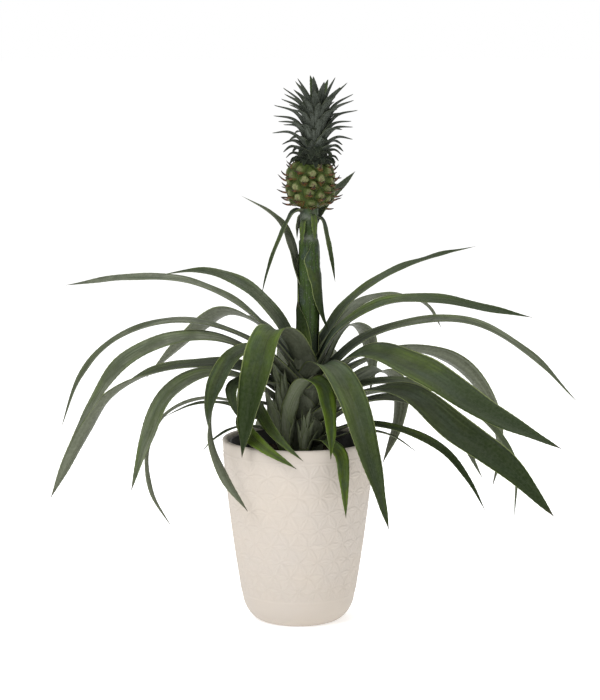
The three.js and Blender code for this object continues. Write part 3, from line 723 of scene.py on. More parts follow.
def blade_material(name, looks, streaks=11.0, root=0.42, young=False, gloss=0.12):
    """Leaf skin. The top is darkest along its middle and blue-grey towards the root, darkened there by
    painted shade, with a pale waxy coat that is partly painted sheen, and blue-green in long patches;
    painted shade deepens the outer half of a leaf that has little of that coat and is not bright; the
    underside is grey and scurfy; the margins carry a thin light line and the tip is dry."""
    def build(tree):
        fibre = placed(tree, fibre_group(), {"Streaks": streaks})
        along, streak = fibre["Along"], fibre["Streak"]
        mottle = mottled(tree, scale=60.0)
        fine = mottled(tree, scale=500.0, detail=2.0)
        tone, bloom = layer(tree, "tone"), layer(tree, "bloom")

        # Tone moves the green from deep to bright: partly the leaf's own colour and partly a painted glow
        # of light through a backlit leaf.
        centre = blended(tree, tone, looks.deep, looks.green)
        edge = blended(tree, tone, looks.green, looks.bright)
        heart = times(tree, fibre["Middle"], plus(tree, 0.35, streak, 0.75))
        # Towards the root the foot colour takes over: yellow-green on young shoots, and on other leaves a
        # blue-grey darkened by painted shade in the plant's heart.
        root_colour_and_shade = times(tree, eased(tree, along, root, 0.04), 0.85)
        foot = looks.young if young else looks.root
        # Pale grey coat: partly waxy bloom and partly painted sheen on the leaves that look grey.
        wax_and_sheen = times(tree, bloom, plus(tree, 0.4, fibre["Patch"], 0.6))
        dark = times(tree, eased(tree, streak, 0.75, 0.1), 0.65)
        shade = times(tree, eased(tree, mottle, 0.8, 0.0), 0.6)
        dull = maths(tree, "SUBTRACT", 1.0, times(tree, tone, 0.4))
        # Painted shade: a leaf with little waxy coat that is not bright is darkened over its outer half.
        shaded = times(tree, eased(tree, bloom, 0.75, 0.0), eased(tree, tone, 0.85, 0.7))
        outer = times(tree, eased(tree, along, 0.4, 0.75), 0.88)
        top = painted(
            tree, edge,
            (heart, centre),
            (times(tree, fibre["Cloud"], 0.6), looks.blue),
            (root_colour_and_shade, foot),
            (times(tree, wax_and_sheen, eased(tree, along, 0.0, 0.3)), looks.wax_and_sheen),
            (times(tree, maths(tree, "MAXIMUM", dark, shade), dull), looks.deep),
            (times(tree, shaded, outer), looks.outer))

        scurf = plus(tree, times(tree, streak, 0.5), fine, 0.3)
        if young:
            beneath = painted(tree, looks.wax_and_sheen, (scurf, looks.young_blade), (root_colour_and_shade, foot))
            top = blended(tree, times(tree, bloom, 0.45), top, beneath)
        else:
            scurfy = times(tree, scurf, eased(tree, bloom, -0.05, 0.12))
            beneath = blended(tree, scurfy, looks.beneath, looks.wax_and_sheen)
        colour = painted(
            tree, top,
            (eased(tree, layer(tree, "under"), 0.45, 0.7), beneath),
            (times(tree, fine, 0.08), looks.wax_and_sheen),
            (times(tree, fibre["Margin"], 0.85), looks.margin),
            (times(tree, eased(tree, along, 0.955, 1.0), 0.7), looks.tip))
        return {"Base Color": colour, "Roughness": plus(tree, 0.4, scurf, 0.25),
                "Height": plus(tree, streak, fine, 0.4)}
    return material_of(name, build, {"Specular IOR Level": gloss}, bump=0.45, distance=0.0004)


def pot_profile(rows):
    """Rows of the pot from the middle of its underside, out round the foot, up the side, over the lip
    and down the inside. The foot is a quarter of an ellipse and the lip half a circle. Returns radius,
    height, and how much of the relief each row carries."""
    quarter = np.linspace(0.03, math.pi / 2, 20)
    foot_z = POT_FOOT_HEIGHT * (1 - np.cos(quarter))
    side_z = np.linspace(POT_FOOT_HEIGHT, POT_HEIGHT - POT_WALL, rows)[1:]
    half = np.linspace(0, math.pi, 12)[1:-1]
    lip = POT_WALL / 2
    lip_r = POT_RIM_RADIUS - lip + lip * np.cos(half)
    lip_z = POT_HEIGHT - lip + lip * np.sin(half)
    inner_z = np.linspace(POT_HEIGHT - POT_WALL, POT_FLOOR + 4 * MM, 14)
    flat = np.array([*UNDERSIDE_RINGS, POT_FOOT_RADIUS / MM - UNDERSIDE_MARGIN]) * MM
    floor = np.array(FLOOR_RINGS) * MM
    outer_z = np.concatenate([foot_z, side_z])
    radius = np.concatenate([flat, pot_radius(outer_z), lip_r, pot_radius(inner_z) - POT_WALL, floor])
    height = np.concatenate([0 * flat, outer_z, lip_z, inner_z, 0 * floor + POT_FLOOR])
    outside = np.zeros(len(radius))
    outside[len(flat):len(flat) + len(outer_z)] = 1
    return radius, height, outside


def pot_radius(z):
    """Outer radius at a height: a taper with a slight curve, rounded in at the foot as an ellipse."""
    down = POT_HEIGHT - z
    side = POT_RIM_RADIUS - POT_TAPER * down - POT_BULGE * down ** 2
    t = np.clip(1 - z / POT_FOOT_HEIGHT, 0, 1)
    return mix(POT_FOOT_RADIUS, side, np.sqrt(1 - t ** 2))


def petal_depth(x, y):
    """How far inside a petal a point lies, as a share of the pitch, or below 0 outside. Circles of one
    pitch round the points of a triangular lattice cross in a lens on each edge of the lattice. On the
    rows of edges in each of three directions, a point s along and t aside from the edge's middle is 1 -
    hypot(s, t + sqrt(3)/2) inside the lens."""
    row_step = math.sqrt(3) / 2
    best = np.full(np.broadcast(x, y).shape, -1.0)
    for turn in (0, math.pi / 3, 2 * math.pi / 3):
        along = x * math.cos(turn) + y * math.sin(turn)
        aside = y * math.cos(turn) - x * math.sin(turn)
        row = np.round(aside / row_step)
        s = (along - 0.5 * (row % 2)) % 1 - 0.5
        t = np.abs(aside - row * row_step) + row_step
        best = np.maximum(best, 1 - np.hypot(s, t))
    return best


def pot_relief(height, turn, looks):
    """Relief from 0 to 1 over the pot's side. The lattice is drawn at one scale round the pot and up
    it, so its height coordinate is the integral of dz / radius. A petal has a raised rim and a shallow
    dish."""
    pitches = looks.flowers / (2 * math.pi)
    x = turn * pitches
    steps = np.linspace(0, POT_HEIGHT, 400)
    climb = np.concatenate([[0], np.cumsum(np.diff(steps) / pot_radius((steps[1:] + steps[:-1]) / 2))])
    y = np.interp(height, steps, climb)[:, None] * pitches
    depth = petal_depth(x, y)
    petal = smooth(depth / PETAL_RIM) * (1 - PETAL_DISH * smooth((depth - PETAL_RIM) / PETAL_SLOPE))
    low, high = looks.relief_foot, POT_HEIGHT - looks.plain_lip
    fade = smooth((height - low) / MM) * smooth((high - height) / MM)
    hem = sum(bell(height - z, HEM_SPREAD) for z in (low - HEM_GAP, high + HEM_GAP))
    return petal * fade[:, None] + HEM_HEIGHT * hem[:, None]


def pot_material(looks):
    """Unglazed white clay: warm cream with a fine grain, and painted shade in the hollows of the relief."""
    def build(tree):
        grain = mottled(tree, scale=1500.0, detail=2.0)
        # Painted shade: the clay darkens in the relief's hollows, where shade falls.
        hollow_shade = times(tree, eased(tree, layer(tree, "relief"), 0.6, 0.0), 0.16)
        colour = painted(tree, looks.clay, (mottled(tree, scale=22.0), looks.clay_warm),
                         (hollow_shade, looks.painted_hollow_shade))
        return {"Base Color": colour, "Roughness": plus(tree, 0.62, grain, 0.14), "Height": grain}
    return material_of("unglazed_clay", build, {"Specular IOR Level": 0.3}, bump=0.12, distance=0.0002)


def build_pot(looks):
    """The ceramic pot, with its lattice of flowers raised from the side."""
    radius, height, outside = pot_profile(looks.rows)
    relief = pot_relief(height, full_turn(looks.columns), looks) * outside[:, None]
    shape = lathe(radius[:, None] + looks.relief_depth * relief, height, looks.columns, {"relief": relief})
    put("pot_wall", shape, pot_material(looks), ["ceramic_pot"])


def liner_radius(z):
    """Outer radius of the growing pot below its rim."""
    return mix(LINER_FOOT_RADIUS, LINER_NECK_RADIUS, (z - LINER_FOOT) / (LINER_TOP - LINER_FOOT))


def plastic_material(looks):
    """Black moulded plastic, dulled by dust and dried splashes."""
    def build(tree):
        dust = mottled(tree, scale=90.0, detail=5.0)
        colour = blended(tree, times(tree, dust, 0.5), looks.plastic, looks.dust)
        return {"Base Color": colour, "Roughness": plus(tree, 0.38, dust, 0.3),
                "Height": mottled(tree, scale=900.0, detail=2.0)}
    return material_of("moulded_plastic", build, {"Specular IOR Level": 0.4}, bump=0.15, distance=0.0002)


def build_growing_pot(looks):
    """The growing pot: a thin tapered wall turned in one, with a rolled rim that is half a circle in
    section."""
    half = np.linspace(-0.2, math.pi, 12)
    roll = 0.3 * LINER_RIM_DEPTH
    rim_r = LINER_RIM_RADIUS - roll + roll * np.cos(half)
    rim_z = LINER_TOP - roll + roll * np.sin(half)
    under = LINER_TOP - LINER_RIM_DEPTH
    walls = np.linspace(LINER_FOOT + 2 * MM, under, 8)
    inner = np.linspace(under, LINER_FOOT + LINER_WALL, 8)
    flat = np.array([4, 20]) * MM
    outer_r = np.concatenate([[LINER_FOOT_RADIUS - 2 * MM], liner_radius(walls), [LINER_RIM_RADIUS], rim_r])
    radius = np.concatenate([flat, outer_r, liner_radius(inner) - LINER_WALL, flat[::-1]])
    height = np.concatenate([[LINER_FOOT] * 3, walls, [under], rim_z, inner, [LINER_FOOT + LINER_WALL] * 2])
    put("nursery_pot", lathe(radius, height, LINER_COLUMNS), plastic_material(looks),
        ["growing_pot"])


def soil_material(looks):
    """Dark moist peat, with paler fibres and a few mineral specks."""
    def build(tree):
        clods = mottled(tree, scale=160.0, detail=6.0)
        specks = mottled(tree, scale=700.0)
        colour = painted(tree, looks.peat, (clods, looks.peat_dry),
                         (times(tree, specks, layer(tree, "own")), looks.bark))
        return {"Base Color": colour, "Height": plus(tree, clods, specks)}
    return material_of("peat", build, {"Roughness": 0.92, "Specular IOR Level": 0.2}, bump=0.7,
                       distance=0.0008)


def soil_height(x, y, looks):
    """The bed's top: a low dome, with round clods of random size heaped over it."""
    out = np.hypot(x, y)
    fall = smooth((out - DOME_INNER_RADIUS) / (DOME_OUTER_RADIUS - DOME_INNER_RADIUS))
    rng = np.random.default_rng(looks.seed)
    places = rng.uniform(-1, 1, (looks.clods, 2)) * CLOD_SPREAD
    sizes = rng.uniform(*CLOD_RADII, looks.clods) * MM
    apart = np.hypot(x[..., None] - places[:, 0], y[..., None] - places[:, 1])
    clods = np.sqrt(np.clip(sizes ** 2 - apart ** 2, 0, None)).max(-1)
    return mix(SOIL_TOP, SOIL_EDGE, fall) - CLOD_SINK + CLOD_RISE * clods


def build_soil(looks):
    """The bed of peat in the growing pot, and loose crumbs and bits of bark on it."""
    turn = full_turn(SOIL_COLUMNS)
    inset = LINER_WALL + SOIL_GAP
    edge = liner_radius(SOIL_EDGE) - inset
    out = np.linspace(edge, 1 * MM, SOIL_ROWS)[:, None]
    top = soil_height(out * np.cos(turn), out * np.sin(turn), looks)
    bottom = np.array([3 * MM, liner_radius(SOIL_BOTTOM) - inset])
    radius = np.concatenate([bottom, out[:, 0]])
    height = np.concatenate([np.full((2, SOIL_COLUMNS), SOIL_BOTTOM), top])
    bed = lathe(radius, height, SOIL_COLUMNS, constant_layers(own=0.35))
    put("peat_bed", bed, soil_material(looks), ["soil"])
    put("peat_crumbs", crumbs(looks, edge), soil_material(looks), rounded=False)


def crumbs(looks, edge):
    """Loose crumbs: one small six-sided ball, stretched, turned and placed at random for each, as whole
    arrays."""
    rng = np.random.default_rng(looks.seed + 1)
    count = looks.crumbs
    tilt = np.linspace(0.35, math.pi - 0.35, 4)
    one = lathe(np.sin(tilt), -np.cos(tilt), 6)
    size = rng.uniform(*CRUMB_RADII, (count, 1, 1)) * MM * rng.uniform(*CRUMB_STRETCH, (count, 1, 3))
    lumps = one.points[None] * size * rng.uniform(*CRUMB_DENTS, (count, len(one.points), 1))
    turns = np.linalg.qr(rng.normal(size=(count, 3, 3)))[0]
    turns *= np.linalg.det(turns)[:, None, None]
    away = edge * np.sqrt(rng.uniform(0, 0.97, count))
    heading = rng.uniform(0, 2 * math.pi, count)
    x, y = away * np.cos(heading), away * np.sin(heading)
    places = np.stack([x, y, soil_height(x, y, looks) + 0.2 * MM], -1)
    points = np.einsum("nij,nkj->nki", turns, lumps) + places[:, None]
    step = len(one.points) * np.arange(count)[:, None, None]
    own = np.repeat(rng.uniform(0, 1, count), len(one.points))
    quads, triangles = ((faces + step).reshape(-1, faces.shape[1]) for faces in (one.quads, one.triangles))
    return Shape(points.reshape(-1, 3), quads, triangles, np.zeros((len(own), 2)), {"own": own})


def stalk_at(z):
    """The stalk's axis x and radius at a height, straight between its stations."""
    heights, xs, radii = np.array(STEM_STATIONS, float).T * MM
    return np.interp(z, heights, xs), np.interp(z, heights, radii)


def stalk_material(looks):
    """Stalk skin: blue-green with long streaks and green patches, grey scurf in bands and small white
    specks."""
    def build(tree):
        coords = node(tree, "TexCoord").outputs["Object"]
        drawn = node(tree, "Mapping", {"Vector": coords, "Scale": (1.0, 1.0, 0.06)}).outputs[0]
        long = noise(tree, drawn, scale=900.0, detail=2.0)
        fleck = noise(tree, coords, scale=1300.0, detail=1.0)
        speckle = mottled(tree, scale=420.0, detail=4.0)
        scurf = layer(tree, "scurf")
        colour = painted(
            tree, looks.blue,
            (eased(tree, mottled(tree, scale=75.0, detail=2.0), 0.15, 0.6), looks.stalk),
            (times(tree, eased(tree, long, 0.6, 0.38), 0.65), looks.deep),
            (times(tree, speckle, 0.07), looks.scurf),
            (times(tree, scurf, plus(tree, 0.25, speckle, 0.6)), looks.scurf),
            (times(tree, eased(tree, fleck, 0.63, 0.7), 0.6), looks.scurf))
        return {"Base Color": colour, "Roughness": plus(tree, 0.42, scurf, 0.3),
                "Height": plus(tree, long, fleck, 0.5)}
    return material_of("stalk_skin", build, {"Specular IOR Level": 0.12}, bump=0.4, distance=0.0003)


def stalk_shape():
    """The stem and its stalk, thicker along its collar, with low ribs and a grey ring at each joint.
    The ribs are a cosine round it, and slant a little as they climb."""
    z = np.linspace(STEM_STATIONS[0][0], STEM_STATIONS[-1][0], STALK_ROWS)[:, None]
    x, radius = stalk_at(z * MM)
    collar = smooth((STALK_COLLAR[1] - z) / 2) * smooth((z - STALK_COLLAR[0]) / 20)
    joints, spans = np.array(STALK_JOINTS).T
    scurf = bell(z - joints, spans).max(-1, keepdims=True)
    ribs = np.cos(STALK_RIBS * full_turn(STALK_COLUMNS) + 0.04 * z)
    radius = radius + (COLLAR_RISE * collar + RING_RISE * scurf + RIB_RISE * ribs) * MM
    return lathe(radius, z * MM, STALK_COLUMNS, {"scurf": scurf}, x)


def wrapped(z, angle, out, depth):
    """The inner and the outer face of a sheet that lies round the stalk, out from its skin."""
    x, radius = stalk_at(z)
    return [ring_points(x, radius + out + side * depth / 2, angle, z) for side in (-1, 1)]


def sheath(turn, low, high, wrap, seed):
    """A leaf base that clasps the stalk: a sheet that wraps an angle of it, narrows to a point and
    stands off by 1.6 + 1.6 s^4 mm, s from 0 at its foot to 1 at its tip."""
    s = np.linspace(0, 1, 40)[:, None]
    k = np.linspace(-1, 1, 17)
    z = mix(low, high, s) * MM - 5 * MM * s * k ** 2
    spread = np.radians(wrap / 2) * (1 - s ** 2.4) ** 0.7 * smooth((s + 0.25) / 0.4)
    inner, outer = wrapped(z, math.radians(turn) - k * spread, (1.6 + 1.6 * s ** 4) * MM,
                           SHEATH_THICKNESS * np.sqrt(1 - k ** 2))
    own = np.random.default_rng(seed).uniform()
    return shell(outer, inner, s[:, 0], constant_layers(tone=0.3, bloom=0.0, own=own))


def stem_sheath(i, rng):
    """A broad leaf base round the stem: it wraps nearly half of it, leans out by s^1.6 as it rises and
    ends in a point. Its outer face is the leaf's underside."""
    t = i / (STEM_SHEATHS - 1)
    s = np.linspace(0, 1, 24)[:, None]
    k = np.linspace(-1, 1, 15)
    z = (mix(*STEM_SHEATH_FEET, t) + mix(*STEM_SHEATH_LENGTHS, t) * s - 4 * s * k ** 2) * MM
    angle = i * GOLDEN_TURN + k * math.radians(STEM_SHEATH_WRAP / 2) * (1 - s ** 2) ** 0.8
    inner, outer = wrapped(z, angle, (0.6 + mix(*STEM_SHEATH_LEANS, t) * s ** 1.6) * MM,
                           STEM_SHEATH_THICKNESS * np.sqrt(1 - k ** 2))
    layers = constant_layers(tone=rng.uniform(0.1, 0.5), bloom=rng.uniform(0.1, 0.5), own=rng.uniform())
    return shell(inner, outer, s[:, 0], layers)


def build_stalk(looks):
    """The stem, the sheaths that clasp its stalk and the dry bracts under the fruit."""
    put("stalk", stalk_shape(), stalk_material(looks), ["stem"])
    skin = blade_material("leaf_skin", looks)
    sheaths = joined([sheath(*row, seed) for seed, row in enumerate(SHEATHS)])
    put("stalk_sheaths", sheaths, skin)
    rng = np.random.default_rng(STEM_SHEATH_SEED)
    bases = joined([stem_sheath(i, rng) for i in range(STEM_SHEATHS)])
    put("stem_sheaths", bases, blade_material("base_skin", looks, streaks=9.0, root=0.15))
    bracts = []
    for i, (azimuth, z) in enumerate(BRACTS):
        points = [(reach, z + rise) for reach, rise in BRACT_POINTS]
        row = leaf(azimuth, BRACT_WIDTH, (0, 0, 0), points, 0.9, 0.1, clasping=False)
        bracts.append(blade(row, (STALK_X, 0), BRACT_SEED + i, looks))
    put("stalk_bracts", joined(bracts), skin)


def build_leaves(looks):
    """Every leaf of the rosette and of the stalk, each its own piece."""
    skin = blade_material("leaf_skin", looks)
    for i, row in enumerate(ROSETTE):
        name = f"leaf_{i + 1:02d}"
        put("rosette_" + name, blade(row, (STEM_X, 0), i, looks), skin, [name])
    for i, row in enumerate(STALK_LEAVES):
        name = f"stalk_leaf_{i + 1}"
        put("upper_" + name, blade(row, (STALK_X, 0), STALK_LEAF_SEED + i, looks), skin, [name])


def shoot_leaf(shoot, i, looks):
    """An upright leaf of a side shoot: a golden turn from the last, the inner ones taller and nearer
    upright, and each leaning by the shoot's lean times its share of the height squared."""
    t = (i + 0.5) / shoot["leaves"]
    height = shoot["height"] * mix(0.55, 1, t)
    spread = mix(9, 4, t)
    base = SOIL_TOP / MM - 1 + 3 * t
    points = [(0.5, base), (3, base + height * 0.3), (spread * 0.7, base + height * 0.7),
              (spread, base + height)]
    row = leaf(math.degrees(i * GOLDEN_TURN), shoot["width"], (0, 0, 0), points, 0.6 + 0.3 * t, 0.6,
               cup=0.25, clasping=False)
    shape = blade(row, shoot["foot"], SHOOT_SEED + i, looks)
    share = (shape.points[:, 2] - base * MM) / (shoot["height"] * MM)
    shape.points[:, 0] += shoot["lean"] * MM * np.clip(share, 0, 2) ** 2
    return shape


def build_shoots(looks):
    """The two side shoots at the plant's foot, each one piece with its leaves and its short round
    foot."""
    skin = blade_material("young_skin", looks, streaks=9.0, root=0.3, young=True, gloss=0.06)
    for i, shoot in enumerate(SHOOTS):
        x, y = shoot["foot"]
        shapes = [shoot_leaf(shoot, n, looks) for n in range(shoot["leaves"])]
        shapes += [blade(row, (x, y), SHOOT_SEED - 1 - n, looks) for n, row in enumerate(shoot["extra"])]
        soil = SOIL_TOP / MM
        z = np.array([106, soil - 4, soil + 6]) * MM
        radius = np.array([0.75, 1, 0.85]) * SHOOT_RADIUS * MM
        foot = lathe(radius, z, 24, constant_layers(under=0, tone=0.7, bloom=0.3, own=0.5))
        foot.points += np.array([x, y, 0]) * MM
        put(f"young_shoot_{i + 1}", joined([foot, *shapes]), skin, [f"side_shoot_{i + 1}"])


def fruit_radius(t):
    """Radius of the fruit without its eyes, at a share t of its height: a full barrel."""
    half = np.where(t < FRUIT_WIDEST, FRUIT_WIDEST, 1 - FRUIT_WIDEST)
    x = np.minimum(np.abs(t - FRUIT_WIDEST) / half, 0.97)
    return FRUIT_RADIUS * np.cbrt(1 - x ** 3)


def fruit_eyes():
    """Turn and share of the height of each eye: a golden turn round from the one below, and each a
    little astray."""
    i = np.arange(FRUIT_EYES)
    astray = np.random.default_rng(EYE_SEED).uniform(-1, 1, (2, FRUIT_EYES))
    return i * GOLDEN_TURN + 0.13 * astray[0], mix(0.07, 0.93, (i + 0.5) / FRUIT_EYES) + 0.022 * astray[1]


def fruit_shape(looks):
    """The fruit's skin. The distances to the nearest and the second nearest eye give each eye its cell:
    it rises from the furrow where they are equal, and has a pit in its middle with a ring of three
    small sepals."""
    turn = full_turn(FRUIT_COLUMNS)
    t = np.linspace(0, 1, FRUIT_ROWS)[:, None]
    eye_turn, eye_t = fruit_eyes()
    base = fruit_radius(t)
    around = ((turn[None, :, None] - eye_turn + math.pi) % (2 * math.pi) - math.pi) * base[:, :, None]
    above = (t[:, :, None] - eye_t) * FRUIT_HEIGHT + 0 * around
    apart = np.hypot(around, above)
    eye = apart.argmin(-1)
    near, second = np.moveaxis(np.partition(apart, 1, axis=-1)[..., :2], -1, 0)
    gap = second - near
    around, above = (np.take_along_axis(grid, eye[..., None], -1)[..., 0] for grid in (around, above))
    knob = np.clip(1 - (near / KNOB_REACH) ** 2, 0, 1)
    rise = looks.eye_height * (0.3 + 0.7 * knob) * smooth(gap / EYE_EDGE) - EYE_SINK
    sepals = np.cos(3 * np.arctan2(above, around) + 5 * eye_turn[eye])
    sepals = sepals * bell(near - SEPAL_RADIUS, SEPAL_SPREAD)
    rise = rise + SEPAL_HEIGHT * (sepals - bell(near, SEPAL_SPREAD))
    radius = base + rise * smooth(np.minimum(t, 1 - t) / 0.03)
    layers = {
        "furrow": 1 - smooth(gap / (1.7 * MM)),
        "rim": smooth((near - 0.8 * MM) / (3.2 * MM)),
        "heart": bell(near, 1.3 * MM),
        "own": np.random.default_rng(looks.seed).uniform(0, 1, FRUIT_EYES)[eye],
        "low": smooth((-above - 0.6 * MM) / (3 * MM)),
    }
    return lathe(radius, FRUIT_BASE + t * FRUIT_HEIGHT, FRUIT_COLUMNS, layers, FRUIT_X)


def fruit_material(looks):
    """Fruit skin: each eye is pale in its middle and green towards its rim, with a dry brown heart, a
    red-brown flush at its foot and a dark furrow round it, whose near-black green is partly the skin's own
    and partly painted shade."""
    def build(tree):
        fine = mottled(tree, scale=700.0, detail=4.0)
        broad = mottled(tree, scale=260.0)
        rim = plus(tree, layer(tree, "rim"), maths(tree, "SUBTRACT", broad, 0.5), 0.7)
        flush = times(tree, layer(tree, "low"), eased(tree, fine, 0.25, 0.8))
        colour = painted(
            tree, looks.eye_pale,
            (times(tree, layer(tree, "own"), 0.6), looks.eye_green),
            (eased(tree, rim, 0.05, 0.75), looks.eye_green),
            (times(tree, layer(tree, "heart"), eased(tree, fine, 0.3, 0.9)), looks.eye_heart),
            (times(tree, flush, 0.8), looks.flush),
            # The furrows between the eyes: partly their own deep green and partly painted shade.
            (times(tree, layer(tree, "furrow"), plus(tree, 0.5, broad, 0.5)), looks.furrow))
        return {"Base Color": colour, "Height": fine}
    return material_of("fruit_skin", build, {"Roughness": 0.5, "Specular IOR Level": 0.18}, bump=0.6,
                       distance=0.0005)


def bract_material(looks):
    """Bracts of the fruit: green where they clasp the eye, red-brown beyond and dark at the spine's
    tip."""
    def build(tree):
        fibre = placed(tree, fibre_group(), {"Streaks": 8.0})
        reach = plus(tree, fibre["Along"], maths(tree, "SUBTRACT", mottled(tree, scale=500.0), 0.5), 0.3)
        colour = painted(
            tree, looks.eye_green,
            (eased(tree, reach, 0.0, 0.3), looks.flush),
            (eased(tree, reach, 0.3, 0.7), looks.spine),
            (times(tree, fibre["Streak"], 0.35), looks.furrow))
        return {"Base Color": colour, "Height": fibre["Streak"]}
    return material_of("fruit_bracts", build, {"Roughness": 0.5, "Specular IOR Level": 0.3}, bump=0.3)


def bezier(a, b, c, count):
    """A curve of three points: (1 - s)^2 a + 2 s (1 - s) b + s^2 c."""
    s = np.linspace(0, 1, count)[:, None]
    return (1 - s) ** 2 * a + 2 * s * (1 - s) * b + s ** 2 * c


def fruit_bract(turn, t, rng, looks):
    """The small leaf under an eye. Its midline is a curve of three points, from inside the skin, out
    round the eye's lower half, to the end of a spine, and the spine bends aside over its outer two
    thirds."""
    out = np.array([math.cos(turn), math.sin(turn), 0])
    aside = np.array([-out[1], out[0], 0])
    radius, z = float(fruit_radius(np.array(t))), FRUIT_BASE + t * FRUIT_HEIGHT

    def at(reach, height):
        return np.array([FRUIT_X, 0, height]) + reach * out

    spine = looks.spine_length * rng.uniform(0.75, 1.1) * mix(1, 0.75, t)
    end = z + (mix(-2.8, 1.6, t) + rng.uniform(-1.8, 1.8)) * MM
    line = bezier(at(radius - 0.2 * MM, z - 3.4 * MM), at(radius + 3.6 * MM, z - 2.4 * MM),
                  at(radius + spine, end), SPINE_STEPS)
    s = np.linspace(0, 1, SPINE_STEPS)
    bend = (0.9 * aside + np.array([0, 0, 0.5])) * rng.uniform(-2.2, 2.2) * MM
    line = line + bend * smooth((s[:, None] - 0.35) / 0.65) ** 2
    across, up = frames(line, aside)
    width = (4.6 * np.clip(1 - s / 0.45, 0, 1) ** 0.8 + 1.8 * (1 - s ** 3) + 0.1) * MM
    cup = mix(0.3, 0.05, smooth(s / 0.5))
    layers = constant_layers(own=rng.uniform())
    thickness = mix(0.5, 1.35, smooth(s / 0.4)) * (1 - 0.85 * s ** 3) * MM
    return ribbon(line, across, up, width, cup, thickness, layers, 7)


def build_fruit(looks):
    """The fruit's skin with its eyes, and a bract with a spine under each eye."""
    put("fruit_eyes", fruit_shape(looks), fruit_material(looks), ["fruit"])
    rng = np.random.default_rng(looks.seed)
    bracts = [fruit_bract(turn, t, rng, looks) for turn, t in zip(*fruit_eyes())]
    put("fruit_spines", joined(bracts), bract_material(looks))


def crown_x(rise):
    """X of the crown's axis, which leans to the right as it rises."""
    return CROWN_X + CROWN_LEAN * smooth(rise / CROWN_LEAN_HEIGHT)


def crown_leaf(i, t, rng, looks):
    """Leaf i of the crown, t from 0 at its foot to 1 at its top. Its path runs through four points
    mixed from the tables: it climbs along the core, then bends out, and the lowest hang over the
    fruit's shoulder. Those that point to the front or back stand more upright."""
    stages = np.array(CROWN_PATHS, float)
    mixed = [[np.interp(t, CROWN_STAGES, stages[:, n, k]) for k in range(2)] for n in range(4)]
    reach, rise = np.array(mixed).T * np.array([[rng.uniform(0.92, 1.06)], [rng.uniform(0.95, 1.02)]])
    turn = i * GOLDEN_TURN
    upright = math.sin(turn) ** 2 * math.sin(math.pi * min(t * 1.3, 1))
    reach = reach * mix(1, np.array([1, 0.8, 0.58, 0.45]), upright)
    rise = rise * mix(1, 1.3, upright) - 1 + (CROWN_SPAN + 1) * t ** 1.5
    points = np.stack([crown_x(rise[0] * MM) / MM + reach * math.cos(turn), reach * math.sin(turn),
                       CROWN_BASE / MM + rise], -1)
    line = evenly(smooth_path(points, 12), CROWN_LEAF_STEPS)
    s = np.linspace(0, 1, CROWN_LEAF_STEPS + 1)
    across, up = frames(line, np.array([-math.sin(turn), math.cos(turn), 0]))
    width = np.maximum(looks.crown_width / MM * mix(0.7, 1, smooth(t / 0.3)) * (1 - s) ** 0.72, TIP_WIDTH)
    teeth = 0.16 * (np.arange(len(s)) % 2) * smooth(width / 2)
    cup = mix(0.3, 0.24, smooth(s / 0.6))
    thickness = mix(1.2, 0.5, s) * smooth(width)
    bloom = rng.uniform(0.1, 0.7) * smooth((t - 0.12) / 0.25) * smooth((1.06 - t) / 0.16)
    # The lowest crown leaves get the darkest greens, partly painted shade under the leaves above them, and
    # the topmost the brightest.
    tone = mix(0.0, 0.9, t ** 3) + rng.uniform(0, 0.2)
    layers = constant_layers(tone=tone, bloom=bloom, own=rng.uniform())
    shape = ribbon(line, across, up, width, cup, thickness, layers, 7, teeth)
    shape.points *= MM
    return shape


def build_crown(looks):
    """The crown: leaves in a golden spiral up a short tapered core that leans a little."""
    rng = np.random.default_rng(looks.seed)
    leaves = [crown_leaf(i, (i / (CROWN_LEAVES - 1)) ** 1.3, rng, looks) for i in range(CROWN_LEAVES)]
    rise, radius = np.array(CROWN_CORE).T * MM
    layers = constant_layers(under=0, tone=0.1, bloom=0.3, own=0.5)
    core = lathe(radius, CROWN_BASE + rise, 32, layers, crown_x(rise)[:, None])
    skin = blade_material("crown_skin", looks, streaks=9.0, root=0.35, gloss=0.05)
    put("crown_leaves", joined([core, *leaves]), skin, ["fruit_crown"])


def build_stage(looks):
    """Pale floor, soft light from the upper left and right, and the camera at the photograph's view."""
    mesh = bpy.data.meshes.new("studio_floor")
    rim = ring_points(0.0, looks.floor_radius, full_turn(FLOOR_CORNERS), 0.0)
    mesh.from_pydata(rim.tolist(), [], [list(range(FLOOR_CORNERS))])
    mesh.materials.append(material_of("studio_paper", lambda tree: {}, {
        "Base Color": rgba(looks.paper), "Roughness": 0.9, "Specular IOR Level": 0.0,
        "Emission Color": rgba(looks.sky), "Emission Strength": looks.floor_glow}))
    floor = linked("studio_floor", mesh)
    world = bpy.data.worlds.new("studio")
    world.use_nodes = True
    tree = world.node_tree
    surround = tree.nodes["Background"].inputs
    surround["Color"].default_value = rgba(looks.sky)
    seen = node(tree, "LightPath").outputs["Is Camera Ray"]
    strength = node(tree, "Mix", {0: seen, 2: looks.sky_strength, 3: 1.0}).outputs[0]
    tree.links.new(strength, surround["Strength"])
    bpy.context.scene.world = world
    soft_light("key", (-1.1, -1.3, 1.6), 1.2, looks.key_power)
    soft_light("fill", (1.5, -1.0, 0.9), 1.4, looks.fill_power)
    soft_light("top", (0.1, 0.5, 1.8), 1.2, looks.top_power)
    camera = bpy.data.cameras.new("photo_view")
    camera.lens = looks.lens
    camera.sensor_width = SENSOR_WIDTH
    camera.shift_x = looks.shift
    camera.clip_end = 100
    eye = linked("photo_view", camera)
    eye.location = (0, -looks.distance, looks.eye_level)
    eye.rotation_euler = (math.radians(90) - looks.pitch, 0, 0)
    bpy.context.scene.camera = eye
    bpy.context.scene.view_settings.view_transform = "Standard"


